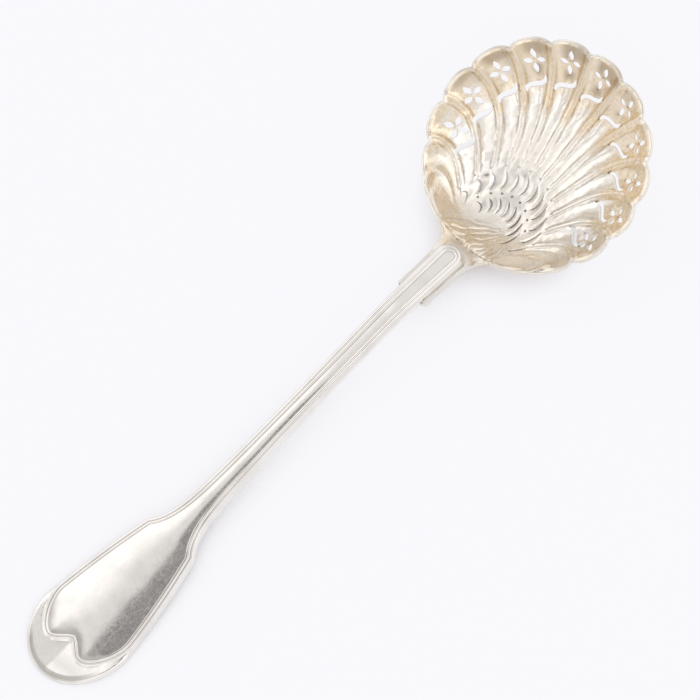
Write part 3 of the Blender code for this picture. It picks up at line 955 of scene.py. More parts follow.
    def top_height(self, x: Array, y: Array) -> Array:
        """Height of the inner face over the plane of the rim.

        Args:
            x: Plan position along the spoon.
            y: Plan position to the left.

        Returns:
            The sheet with flutes, fillets, folds and tongues, a rim turned over by a quarter of a millimetre,
            a hammered unevenness, less of it on the plain sides, and cheeks that stand up beside the stem.
        """
        way, lobe = self.fan_coordinates(x, y)
        in_bowl = smoothstep(-3.2, -1.2, x)
        relief = self.ridge_relief(way, lobe) + self.tongues(way, lobe)[0] + self.heel_folds(x, y)
        relief = relief - self.rim_roll * smoothstep(self.rim_roll_width, 0.0, self.from_rim(x, y))
        hammered = self.hammer_marks[0] * ripple(x, y, self.hammer_marks[1], seed=11)
        uneven = hammered + self.planish_marks[0] * ripple(x, y, self.planish_marks[1], seed=12)
        uneven = uneven * (1 - 0.75 * smoothstep(5.2, 6.0, np.abs(lobe)))
        beside = np.abs(y) - self.cheek_at - self.cheek_splay * x
        cheek = self.tang_cheek * smoothstep(0.0, 0.18, beside) * smoothstep(-0.8, -7.0, x)
        return -self.plain_depth(x, y) - self.flute(x, y) + in_bowl * (relief + uneven) + cheek

    def from_rim(self, x: Array, y: Array) -> Array:
        """Millimetres inside the lobed rim, on the way from its centre."""
        angle = np.arctan2(y, x - self.rim_centre)
        return self.rim_radius(angle) - np.hypot(x - self.rim_centre, y)

    def outline(self) -> Array:
        """Lobed rim and tang in plan.

        Returns:
            One closed loop, anticlockwise; the tang narrows as a falling exponential and ends in a step.
        """
        last = self.last_ridge * self.lobe_pitch
        lobes = np.linspace(-last, last, self.flowered_lobes * 32 + 1)
        side = np.linspace(last, math.pi - self.heel_half_angle, 70)[1:]
        angles = np.concatenate([-side[::-1], lobes, side])
        radius = self.rim_radius(angles)
        rim = columns(self.rim_centre + radius * np.cos(angles), radius * np.sin(angles))
        along = np.linspace(0.35, self.tang_length, 60)
        width = self.tang_half_width + (rim[-1, 1] - self.tang_half_width) * np.exp(-along / self.tang_flare)
        width -= self.tang_step * smoothstep(self.tang_seen - 0.3, self.tang_seen + 0.3, along)
        left = columns(-along, width)
        return np.concatenate([rim, left, left[::-1] * (1, -1)])

    def on_lobe(self, angle: float, inset: float) -> Array:
        """The point that far inside the rim, in the direction of angle from its centre."""
        radius = self.radius - inset
        return np.array([self.rim_centre + radius * math.cos(angle), radius * math.sin(angle)])

    def petal(self, centre: Array, facing: float) -> Array:
        """A pointed leaf from a flower's hub outwards.

        Args:
            centre: The flower's middle.
            facing: Angle in which the leaf points.

        Returns:
            A closed loop whose width follows sin(pi s).
        """
        share = np.linspace(0.0, 1.0, 11)
        reach = self.flower_hub + self.petal_length * share
        path = columns(reach, np.zeros_like(reach))
        return centre + turned(ribbon(path, self.petal_width * np.sin(math.pi * share)), facing)

    def scroll(self, flower: Array) -> Array:
        """An S-shaped slot on a flower's line of the fan, turned to that line.

        Args:
            flower: The flower's middle.

        Returns:
            A closed loop, thick in the middle.
        """
        rise, reach, hook = self.scroll_rise, self.scroll_reach, self.scroll_hook
        path = bezier((-rise, reach), (hook, reach * 1.25), (-hook, -reach * 1.25), (rise, -reach), 27)
        widths = self.scroll_width * np.sin(math.pi * np.linspace(0.0, 1.0, len(path))) ** 0.55
        way, lobe = self.fan_coordinates(flower[0], flower[1])
        way -= self.scroll_back * way / math.hypot(flower[0] - self.umbo, flower[1])
        return self.fan_place(way, lobe) + turned(ribbon(path, widths), self.fan_facing(way, lobe))

    def slit(self, row: SlitRow, lobe: float) -> Array:
        """A thin crescent slot on the floor.

        Args:
            row: The row it lies in.
            lobe: The line of the fan that it starts from.

        Returns:
            A closed loop that drifts away from that line and part of the way back.
        """
        share = np.linspace(0.0, 1.0, 23)
        way = row.inner + (row.outer - row.inner) * share
        widths = self.slit_width * np.sin(math.pi * share) ** 0.7
        return ribbon(self.fan_place(way, lobe + row.drift(way)), widths)

    def dot(self, row: SlitRow, lobe: float) -> Array:
        """A small drilled hole just beyond a slit's outer end.

        Args:
            row: The slit's row.
            lobe: The slit's line of the fan.

        Returns:
            A circle of points.
        """
        angles = np.linspace(0.0, 2 * math.pi, 15)[:-1]
        ring = columns(np.cos(angles), np.sin(angles))
        return self.fan_place(np.float64(row.outer + row.dot_beyond), lobe) + self.dot_radius * ring

    def piercings(self) -> list[Array]:
        """Every hole through the bowl.

        Returns:
            Closed plan loops: four leaves and a scroll for each lobe, then slits and dots row by row.
        """
        loops = []
        half = self.flowered_lobes // 2
        for lobe in range(-half, half + 1):
            angle = lobe * self.lobe_pitch
            centre = self.on_lobe(angle, self.flower_inset + self.flower_drift * max(lobe, 0))
            turns = [angle + 2 * math.pi * leaf / self.petals for leaf in range(self.petals)]
            loops += [self.petal(centre, turn) for turn in turns]
            loops.append(self.scroll(centre))
        for row in self.slit_rows:
            loops += [self.slit(row, lobe) for lobe in row.lobes]
            loops += [self.dot(row, lobe) for lobe in row.lobes]
        return loops

    def plan_points(self, spacing: float) -> Array:
        """Loose plan points in rows across the fan, closer together at its ridges and folds.

        Args:
            spacing: Mean distance between points, in millimetres.

        Returns:
            Plan points over bowl and tang, some of them outside the outline.
        """
        rows = []
        chord = 2 * self.radius
        at_heel = np.arange(0.02, 0.2, 0.6 * spacing / chord)
        beyond_heel = np.arange(0.2, 0.995, 1.15 * spacing / chord)
        widest = math.radians(86.0)
        last = self.last_ridge + 1
        for way in np.concatenate([at_heel, beyond_heel]):
            width = way * chord * self.lobe_pitch / 2 * self.fan_spread(way, 0.0)
            count = max(int(round(width / spacing)), 4)
            share = np.arange(count) / count
            to_ridge = share - 0.55 * np.sin(2 * math.pi * share) / (2 * math.pi)
            ridged = (np.arange(-last, last)[:, None] + to_ridge).ravel()
            limit = widest / (self.lobe_pitch / 2 * self.fan_spread(way, last))
            sides = np.arange(last, limit, 1.0 / count)
            lobes = np.concatenate([-sides[::-1], ridged, sides])
            rows.append(self.fan_place(way, lobes[np.abs(lobes) < limit]))
        across = np.arange(0.0, 9.1, spacing * 2)
        cheek_foot = (3.6, 3.72, 3.84, 3.96, 4.08, 4.25)
        across = np.concatenate([across[np.abs(across - 3.9) > 0.5], cheek_foot])
        along = np.arange(-self.tang_length, 0.6, spacing * 2)
        rows.append(grid(along, np.concatenate([-across[1:], across])))
        return np.concatenate(rows)

    def build(self, shift: float) -> bpy.types.Object:
        """Make the pierced bowl as one closed body and store what its finish reads.

        Args:
            shift: Where the heel lies along the part's X axis.

        Returns:
            The bowl.
        """
        outline = self.outline()
        holes = self.piercings()
        sheets = []
        fine_and_margin, coarse_and_margin = (0.34, 0.13), (0.95, 0.3)
        for spacing, margin in (fine_and_margin, coarse_and_margin):
            loose = self.plan_points(spacing)
            loose = loose[inside(loose, outline)]
            loose = loose[distance_to(loose, outline) > margin]
            sheets.append(Sheet(outline, holes, clear_of(loose, holes, margin)))
        upper, lower = sheets
        x, y = upper.plan.T
        top = columns(x, y, self.top_height(x, y))
        x, y = lower.plan.T
        bottom = columns(x, y, -self.plain_depth(x, y) - self.flute(x, y)) - self.wall * self.normals(x, y)
        sin, cos = math.sin(self.pitch), math.cos(self.pitch)
        # The underside is flat where it would pass below the table
        height = self.heel_height + bottom[:, 0] * sin + bottom[:, 2] * cos
        bottom += np.maximum(-height, 0.0)[:, None] * np.array([sin, 0.0, cos])
        body = Body(upper, lower, top, bottom, self.rim_bulge, Rounding.FILED)
        piece = body.object("bowl_shell", Place(self.pitch, self.heel_height, shift))
        self._paint(piece, body)
        return piece

    def below_flower(self, way: Array, lobe: Array) -> Array:
        """1 between a flower and its scroll and 0 elsewhere, as a bell along the lobe times one across it."""
        phase = lobe - np.round(lobe)
        return np.exp(-(((way - 0.868) / 0.03) ** 2) - ((phase + 0.05) / 0.22) ** 2)

    def gilding(self, x: Array, y: Array) -> Array:
        """How much gilding is left.

        Args:
            x: Plan position along the spoon.
            y: Plan position to the left.

        Returns:
            1 for all of it: in the lobes and on their ridges, less at the heel and on the plain sides, and
            least on the rim's edge and in the last lobes to the right; below the flowers at the left it is
            taken off so that the bare silver paints a highlight.
        """
        way, lobe = self.fan_coordinates(x, y)
        offset = np.abs(self.ridge_offset(way, lobe))
        lobes = smoothstep(0.72, 0.83, way + 0.1 * smoothstep(1.8, 0.9, offset)) * smoothstep(-1.5, 0.5, x)
        # Painted highlight: bare silver between flower and scroll in the left lobes
        lobes *= 1 - 0.8 * self.below_flower(way, lobe) * smoothstep(2.4, 3.2, lobe)
        heel = 0.8 * smoothstep(7.2, 3.0, x + 0.3 * y) * smoothstep(-4.8, -2.8, x)
        sides = 0.45 * smoothstep(5.3, 6.0, np.abs(lobe)) * smoothstep(-0.6, 1.2, x)
        gilt = np.maximum.reduce([lobes, heel, sides])
        gilt *= 1 - 0.35 * smoothstep(-4.2, -5.0, lobe)
        return gilt * (1 - 0.75 * smoothstep(0.5, 0.2, self.from_rim(x, y)) * smoothstep(-0.5, 1.0, x))

    def soil_and_painted_shade(self, x: Array, y: Array) -> Array:
        """How dark the colour is made: tarnish where a cloth doesn't reach, and painted shade.

        Args:
            x: Plan position along the spoon.
            y: Plan position to the left.

        Returns:
            The greatest of these shares: painted shade with some tarnish in the creases beside the fillets
            and between them; painted shade on the right half and the crown of the lobes away from the heel,
            between flower and scroll and on the ridges near the rim, in the channel behind the heel, in the
            valleys of its folds and on the low side of each tongue; and a dull film in the last lobes to the
            right.
        """
        way, lobe = self.fan_coordinates(x, y)
        phase = lobe - np.round(lobe)
        offset = np.abs(self.ridge_offset(way, lobe))
        apart, wide = self.fillets(way)
        # Painted shade with some tarnish in the creases beside the fillets and between them
        crease = np.exp(-(((offset - apart - 1.5 * wide) / 0.13) ** 2))
        crease += 0.6 * np.exp(-((offset / 0.12) ** 2))
        groove = crease * smoothstep(0.37, 0.45, way) * (1 - 0.5 * smoothstep(0.82, 0.94, way))
        groove *= np.abs(lobe) < self.last_ridge + 0.4
        ridge = smoothstep(1.7, 0.8, offset) * smoothstep(0.7, 0.84, way)
        # Painted shade in the channel behind the heel, where the stem meets the bowl
        channel_shade = smoothstep(-3.6, -1.9, x) * smoothstep(0.3, -1.1, x) * smoothstep(6.5, 3.0, np.abs(y))
        # Painted shade in the valleys of the heel's folds
        valley = np.abs(np.sin(math.pi * self.fold_phase(x, y)))
        fold_valley_shade = smoothstep(0.3, 0.08, valley) * self.fold_band(x, y)
        # Painted shade: right half and crown of the upper lobes, between flower and scroll, and on the ridges
        # near the rim
        right_half = smoothstep(0.2, -0.3, phase) * smoothstep(0.8, 0.93, way)
        crown = smoothstep(0.9, 0.955, way) * smoothstep(0.3, 0.9, self.from_rim(x, y))
        crown *= smoothstep(0.42, 0.1, phase)
        below = self.below_flower(way, lobe) * smoothstep(3.2, 2.4, lobe)
        shade = np.maximum.reduce([0.45 * right_half, 0.75 * crown, 0.8 * below, 0.25 * ridge])
        shade *= smoothstep(-1.6, -0.4, lobe) * smoothstep(4.8, 3.6, lobe)
        dull = 0.2 * smoothstep(-4.2, -5.0, lobe) * smoothstep(0.55, 0.8, way)
        # Painted shade on the low side of each tongue, beside its slit
        slit_side_shade = 0.28 * self.tongues(way, lobe)[1]
        return np.maximum.reduce([0.55 * groove, shade, 0.5 * channel_shade, 0.5 * fold_valley_shade, dull, slit_side_shade])

    def _paint(self, piece: bpy.types.Object, body: Body) -> None:
        """Store the gilding, the tarnish with the painted shade, and where wiping dulled the floor.

        Args:
            piece: The bowl.
            body: Its plan positions; the far edges of its holes get painted shade too.
        """
        x, y = np.concatenate(body.plan).T
        way = self.fan_coordinates(x, y)[0]
        hollow = self.soil_and_painted_shade(x, y)
        # Painted shade on the lower edges of every hole's wall
        hollow[np.concatenate(body.lower.rings[1:]) + len(body.top)] = self.hole_wall_shade
        paint(piece, "gilt", self.gilding(x, y))
        paint(piece, "hollow", hollow)
        paint(piece, "worn", smoothstep(0.42, 0.2, way) * smoothstep(2.0, 4.0, x))

    def dress(self, piece: bpy.types.Object, finish: GiltFinish) -> None:
        """Give the bowl its finish, and let it stand for the solid bowl.

        Args:
            piece: The bowl.
            finish: Its finish.
        """
        piece.data.materials.append(finish.material())
        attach(piece, "root")
        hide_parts("bowl")

    def seat_height(self, x: Array) -> Array:
        """Height of the tang's flat face above the table, a straight slope that falls to the bowl."""
        turn = math.cos(self.pitch) - math.tan(self.seat_slope) * math.sin(self.pitch)
        return self.heel_height - self.heel_dip * turn - math.tan(self.seat_slope) * x


# The handle and its solder


@dataclass
class Handle:
    """The forged handle: heart-tipped blade, shoulders, slim stem, and a border of two threads."""

    bowl: Bowl
    # Plan of blade, shoulders and stem
    reach: float = 156.5
    setback: float = 2.6
    tip_round: float = 0.5
    tip_length: float = 16.6
    blade_half_width: float = 13.35
    side_curve: float = 0.38
    shoulder_at: float = 47.3
    shoulder_half_width: float = 8.25
    shoulder_fall: float = 4.8
    stem_half_width: float = 3.2
    stem_waist_at: float = 112.0
    stem_swell: float = 4400.0
    front_round: float = 3.4
    # Thickness at the edge, and the crown above it
    blade_edge: float = 1.7
    stem_edge: float = 2.5
    blade_crown: float = 1.45
    stem_crown: float = 0.85
    stem_hollow: float = 0.2
    # Line of the underside
    tip_lift: float = 0.5
    foot_start: float = 5.0
    foot_end: float = 12.0
    arch_rear: float = 60.0
    arch_front: float = 14.0
    arch_slope: float = 0.045
    # Edge, threads, and polishing as height and wavelength
    edge_bulge: float = 0.18
    edge_bevel: float = 0.3
    edge_drop: float = 0.3
    thread_pitch: float = 0.78
    stem_inset_scale: float = 0.9
    thread_relief: float = 0.3
    thread_hollow: float = 0.03
    polish_waves: tuple[float, float] = (0.012, 9.0)
    # Heart, and the crescent between it and the tip
    heart_cusp: float = 10.7
    heart_lobe: float = 7.4
    heart_lobe_at: float = 5.0
    heart_join: float = 20.0
    keel_height: float = 0.6
    keel_relief: float = 0.65
    horn_fall: float = 0.35
    tip_droop: float = 0.8
    tip_bevel: float = 1.5
    tip_fall: float = 0.13
    cove_depth: float = 0.45
    cove_width: float = 2.2
    # Solder
    solder_film: float = 0.24
    solder_back: float = 20.0
    fillet_width: float = 0.5
    fillet_gap: float = 0.1
    fillet_rise: float = 1.3
    fillet_bulge: float = 0.03
    solder_soil: float = 0.1
    fit_gap: float = 0.06

    def half_width(self, a: Array) -> Array:
        """Half the handle's width, for the blade's sides and the stem.

        Args:
            a: Distance from the tip.

        Returns:
            A taper that quickens along the blade, then a parabola along the stem that is reached by a fall.
        """
        blade = np.clip((a - self.tip_length) / (self.shoulder_at - self.tip_length), 0.0, 1.0)
        taper = self.blade_half_width - self.shoulder_half_width
        sides = self.blade_half_width - taper * blade * (1 - self.side_curve + self.side_curve * blade)
        stem = self.stem_half_width + (a - self.stem_waist_at) ** 2 / self.stem_swell
        at_shoulder = self.stem_half_width + (self.shoulder_at - self.stem_waist_at) ** 2 / self.stem_swell
        past = np.maximum(a - self.shoulder_at, 0.0)
        fall = (self.shoulder_half_width - at_shoulder) * np.exp(-past / self.shoulder_fall)
        return np.where(a <= self.shoulder_at, sides, stem + fall)

    def mirrored(self, left: Array) -> Array:
        """The closed loop made of a left-hand line and its mirror image, anticlockwise."""
        return np.concatenate([left[::-1], left[left[:, 1] > 1e-6] * (1, -1)])

    def sides(self, start: float) -> Array:
        """The left edge of the handle, as far as its front end on the axis.

        Args:
            start: Distance from the tip at which it starts.

        Returns:
            Plan points, the last ones on a quarter ellipse.
        """
        front = self.reach - self.setback
        blade = np.linspace(start, self.shoulder_at, 46)
        fall = self.shoulder_at + np.linspace(0.35, 16.0, 34)
        stem = np.linspace(fall[-1] + 0.9, front - self.front_round, 110)
        a = np.concatenate([blade, fall, stem])
        edge = columns(a, self.half_width(a))
        angles = np.linspace(0.0, math.pi / 2, 14)[1:]
        end = columns(front - self.front_round * (1 - np.sin(angles)), edge[-1, 1] * np.cos(angles))
        return np.concatenate([edge, end])

    def outline(self) -> Array:
        """The handle in plan.

        Returns:
            A closed loop: half-ellipse tip, tapering blade, shoulders, stem and rounded front end.
        """
        angles = np.linspace(0.0, math.pi / 2, 46)[:-1]
        run = self.tip_length - self.tip_round
        tip = columns(self.tip_length - run * np.cos(angles), self.blade_half_width * np.sin(angles))
        return self.mirrored(np.concatenate([tip, self.sides(self.tip_length)]))

    def thread_guide(self) -> Array:
        """The line that the thread border is offset from.

        Returns:
            A closed loop: the outline, but heart-shaped at the tip, in two cubics to each side.
        """
        lobe = (self.heart_lobe, self.heart_lobe_at)
        join = (self.heart_join, float(self.half_width(np.float64(self.heart_join))))
        cusp = (self.heart_cusp, 0.0)
        inner = bezier(cusp, (cusp[0] - 1.2, 1.6), (lobe[0], lobe[1] - 1.8), lobe, 16)
        outer = bezier(lobe, (lobe[0], lobe[1] + 3.6), (join[0] - 6.0, join[1] + 0.2), join, 26)
        return self.mirrored(np.concatenate([inner, outer[1:-1], self.sides(self.heart_join)]))

    def under(self, a: Array) -> Array:
        """Height of the underside above the table.

        Args:
            a: Distance from the tip.

        Returns:
            A tip lifted by a parabola, a flat foot, a long arch along a cubic, then the lap on the tang.
        """
        lap_start = self.reach - self.bowl.tang_length - 1.0
        film = self.solder_film + 2 * self.fit_gap
        lap_height = float(self.bowl.seat_height(np.float64(lap_start - self.reach))) + film
        rise = math.tan(self.bowl.seat_slope) * self.arch_front
        arch = bezier(
            (self.foot_end, 0.0),
            (self.foot_end + self.arch_rear, self.arch_slope * self.arch_rear),
            (lap_start - self.arch_front, lap_height + rise),
            (lap_start, lap_height),
            80,
        )
        lap = self.bowl.seat_height(a - self.reach) + film
        lifted = self.tip_lift * (np.maximum(self.foot_start - a, 0.0) / self.foot_start) ** 2
        arched = np.interp(a, arch[:, 0], arch[:, 1])
        return np.where(a >= lap_start, lap, np.where(a <= self.foot_end, lifted, arched))

    def over(self, a: Array, y: Array, margin: Array) -> Array:
        """Height of the upper face before its threads.

        Args:
            a: Distance from the tip.
            y: Distance to the left.
            margin: 1 on the plain crescent beyond the heart, 0 within the threads.

        Returns:
            The underside plus the edge's thickness, plus a crown of 1 - t^2 across the width, t the share
            of the half width, which sinks to a hollow towards the bowl; or on the crescent two flat facets
            that fall to a crease on the axis, and droop towards the tip and the horns.
        """
        grown = smoothstep(self.tip_length, self.shoulder_at + 18.0, a)
        edge = self.blade_edge + (self.stem_edge - self.blade_edge) * grown
        across = np.clip(np.abs(y) / self.half_width(a), 0.0, 1.0)
        crown = self.blade_crown + (self.stem_crown - self.blade_crown) * grown
        crown = crown - (self.stem_crown + self.stem_hollow) * smoothstep(84.0, 116.0, a)
        crown = crown * (1 - across**2)
        droop = self.tip_droop * np.maximum(1 - a / self.heart_cusp, 0.0) ** 2
        droop = droop + self.horn_fall * smoothstep(11.0, 19.0, a)
        groove = self.keel_height - self.keel_relief * (1 - across) - droop
        margin = margin * smoothstep(self.heart_join, self.heart_join - 9.0, a)
        return self.under(a) + edge + crown * (1 - margin) + groove * margin

    def threads(self, inset: Array) -> Array:
        """Relief of the thread border.

        Args:
            inset: Distance inside the guide.

        Returns:
            Heights: two half circles, flattened, then a faint hollow.
        """
        first = self.edge_bevel + self.thread_pitch / 2
        total = np.zeros_like(inset)
        for number in range(2):
            off = (inset - first - number * self.thread_pitch) / (self.thread_pitch / 2)
            total = total + self.thread_relief * np.sqrt(np.maximum(1 - off**2, 0.0))
        inner = first + 1.5 * self.thread_pitch
        return total - self.thread_hollow * np.exp(-(((inset - inner - 0.12) / 0.2) ** 2))

    def relief(self, a: Array, y: Array, inset: Array, on_edge: Array, margin: Array) -> Array:
        """Relief of the upper face.

        Args:
            a: Distance from the tip.
            y: Distance to the left.
            inset: Distance inside the thread guide.
            on_edge: Distance inside the outline.
            margin: 1 on the plain crescent beyond the heart, 0 within the threads.

        Returns:
            Heights: the threads, less a bevel on the edge, a cove that fades from the heart inwards as an
            exponential, and a straight bevel round the tip, plus faint waves left by polishing.
        """
        relief = self.threads(inset) - self.edge_drop * smoothstep(self.edge_bevel, 0.0, on_edge)
        cove = np.exp(-np.maximum(inset - self.edge_bevel - 2 * self.thread_pitch, 0.0) / self.cove_width)
        cove *= smoothstep(19.0, 11.0, a + 4.0 * smoothstep(4.0, -6.0, y))
        relief -= self.cove_depth * cove * (1 - margin)
        relief -= self.tip_fall * np.maximum(1 - on_edge / self.tip_bevel, 0.0) * smoothstep(11.0, 4.0, a)
        return relief + self.polish_waves[0] * ripple(a, y, self.polish_waves[1], seed=21)

    def upper_points(self, outline: Array, guide: Array) -> Array:
        """Loose plan points of the upper face.

        Args:
            outline: The handle's edge.
            guide: The line that the threads follow.

        Returns:
            Rings along the threads, grids on the panel within them and on the tip, and lines at the bevel.
        """
        insets = np.arange(0.06, 2.4, 0.1)
        rings = np.concatenate([inset_loop(guide, inset) for inset in insets])
        panel = grid(np.arange(8.0, self.reach - self.setback, 0.8), np.arange(-12.8, 12.9, 0.8))
        panel = panel[inside(panel, inset_loop(guide, insets[-1] + 0.4))]
        tip = grid(np.arange(0.2, 17.0, 0.35), np.arange(-13.3, 13.31, 0.35))
        tip = tip[inside(tip, outline) & ~inside(tip, guide)]
        bevel = np.concatenate([inset_loop(outline, self.tip_bevel + step) for step in (-0.1, 0.0, 0.1)])
        loose = np.concatenate([rings, panel, tip, bevel[bevel[:, 0] < self.heart_cusp]])
        return loose[inside(loose, outline) & (distance_to(loose, outline) > 0.05)]

    def soil_and_painted_shade(self, a: Array, inset: Array, on_edge: Array) -> Array:
        """How dark the colour is made: tarnish where a cloth doesn't reach, and painted shade.

        Args:
            a: Distance from the tip.
            inset: Distance inside the thread guide.
            on_edge: Distance inside the outline.

        Returns:
            The greatest of these shares: painted shade with some tarnish in the valleys beside the threads,
            painted shade in the corner within the heart, and painted shade on the bevel round the tip.
        """
        # Painted shade, with some tarnish, along the valleys beside the threads
        valleys = self.edge_bevel + self.thread_pitch * np.array([1.0, 2.05])
        valley = np.abs(inset[:, None] - valleys).min(axis=1)
        # Painted shade in the corner within the heart
        corner = smoothstep(2.2, 0.0, inset - self.edge_bevel - 2 * self.thread_pitch)
        corner *= smoothstep(18.0, 12.0, a) * (inset > valleys[1])
        # Painted shade on the bevel round the tip
        bevel = smoothstep(self.tip_bevel + 0.1, self.tip_bevel - 0.2, on_edge) * smoothstep(9.0, 3.0, a)
        return np.maximum.reduce([0.45 * smoothstep(0.18, 0.05, valley), 0.5 * corner, 0.4 * bevel])

    def build(self, shift: float) -> bpy.types.Object:
        """Make the handle as one closed body and store what its finish reads.

        Args:
            shift: Where the heel lies along the part's X axis.

        Returns:
            The handle.
        """
        outline = self.outline()
        guide = self.thread_guide()
        upper = Sheet(outline, [], self.upper_points(outline, guide))
        coarse = grid(np.arange(1.5, self.reach - self.setback - 1.0, 1.5), np.arange(-12.0, 12.1, 2.0))
        lower = Sheet(outline, [], coarse[inside(coarse, inset_loop(outline, 0.6))])
        a, y = upper.plan.T
        inset = distance_to(upper.plan, guide) * np.where(inside(upper.plan, guide), 1.0, -1.0)
        on_edge = distance_to(upper.plan, outline)
        margin = smoothstep(0.4, 0.2, inset) * smoothstep(0.05, 0.5, on_edge - inset)
        # On the stem the threads are a ninth wider than on the blade
        on_stem = smoothstep(self.shoulder_at, self.shoulder_at + 15.0, a)
        inset = inset * (1 + (self.stem_inset_scale - 1) * on_stem)
        relief = self.relief(a, y, inset, on_edge, margin)
        top = columns(a - self.reach, y, self.over(a, y, margin) + relief)
        back_a, back_y = lower.plan.T
        bottom = columns(back_a - self.reach, back_y, self.under(back_a))
        body = Body(upper, lower, top, bottom, self.edge_bulge, Rounding.POLISHED)
        piece = body.object("handle_forging", Place(0.0, 0.0, shift))
        hollow = np.zeros(len(piece.data.vertices))
        # Tarnish and painted shade of the upper face
        hollow[: len(top)] = self.soil_and_painted_shade(a, inset, on_edge)
        paint(piece, "hollow", hollow)
        return piece

    def dress(self, piece: bpy.types.Object, finish: SilverFinish) -> None:
        """Give the handle its finish, and let it stand for the solid handle.

        Args:
            piece: The handle.
            finish: Its finish.
        """
        piece.data.materials.append(finish.material())
        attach(piece, "root")
        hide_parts("handle")

    def build_solder(self, shift: float) -> bpy.types.Object:
        """Make the film of solder in the lap, with a fillet that rises beside the stem.

        Args:
            shift: Where the heel lies along the part's X axis.

        Returns:
            The solder: a film as far as the stem's edge, and beyond it a rim that stands up between the
            stem and the tang's cheeks.
        """
        back = self.reach - self.solder_back
        edge = self.sides(self.heart_join)
        edge = edge[edge[:, 0] > back + 1.0]
        start = np.array([[back, float(self.half_width(np.float64(back)))]])
        stem = self.mirrored(np.concatenate([start, edge]))
        steps = (self.fillet_width, self.fillet_gap, self.fillet_gap - 0.05)
        rings = [inset_loop(stem, -step) for step in steps]
        sheet = Sheet(rings[0], [], np.concatenate(rings[1:]))
        x, y = sheet.plan[:, 0] - self.reach, sheet.plan[:, 1]
        outside = np.where(inside(sheet.plan, stem), 0.0, distance_to(sheet.plan, stem))
        seat = self.bowl.seat_height(x) + self.fit_gap
        rise = self.solder_film + self.fillet_rise * (outside > self.fillet_gap - 0.02)
        top, bottom = columns(x, y, seat + rise), columns(x, y, seat)
        body = Body(sheet, sheet, top, bottom, self.fillet_bulge, Rounding.FILED)
        piece = body.object("solder_seam", Place(0.0, 0.0, shift))
        paint(piece, "hollow", np.full(len(piece.data.vertices), self.solder_soil))
        return piece

    def dress_solder(self, piece: bpy.types.Object, finish: SilverFinish) -> None:
        """Give the solder its finish, and let it stand for the solid film.

        Args:
            piece: The solder.
            finish: Its finish.
        """
        piece.data.materials.append(finish.material())
        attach(piece, "root")
        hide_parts("solder_joint")


# Floor, light and camera


@dataclass(frozen=True)
class Glow:
    """One soft-edged area of the room, as the polished metal mirrors it; core and edge are in degrees."""

    towards: tuple[float, float, float]
    core: float
    edge: float
    strength: float


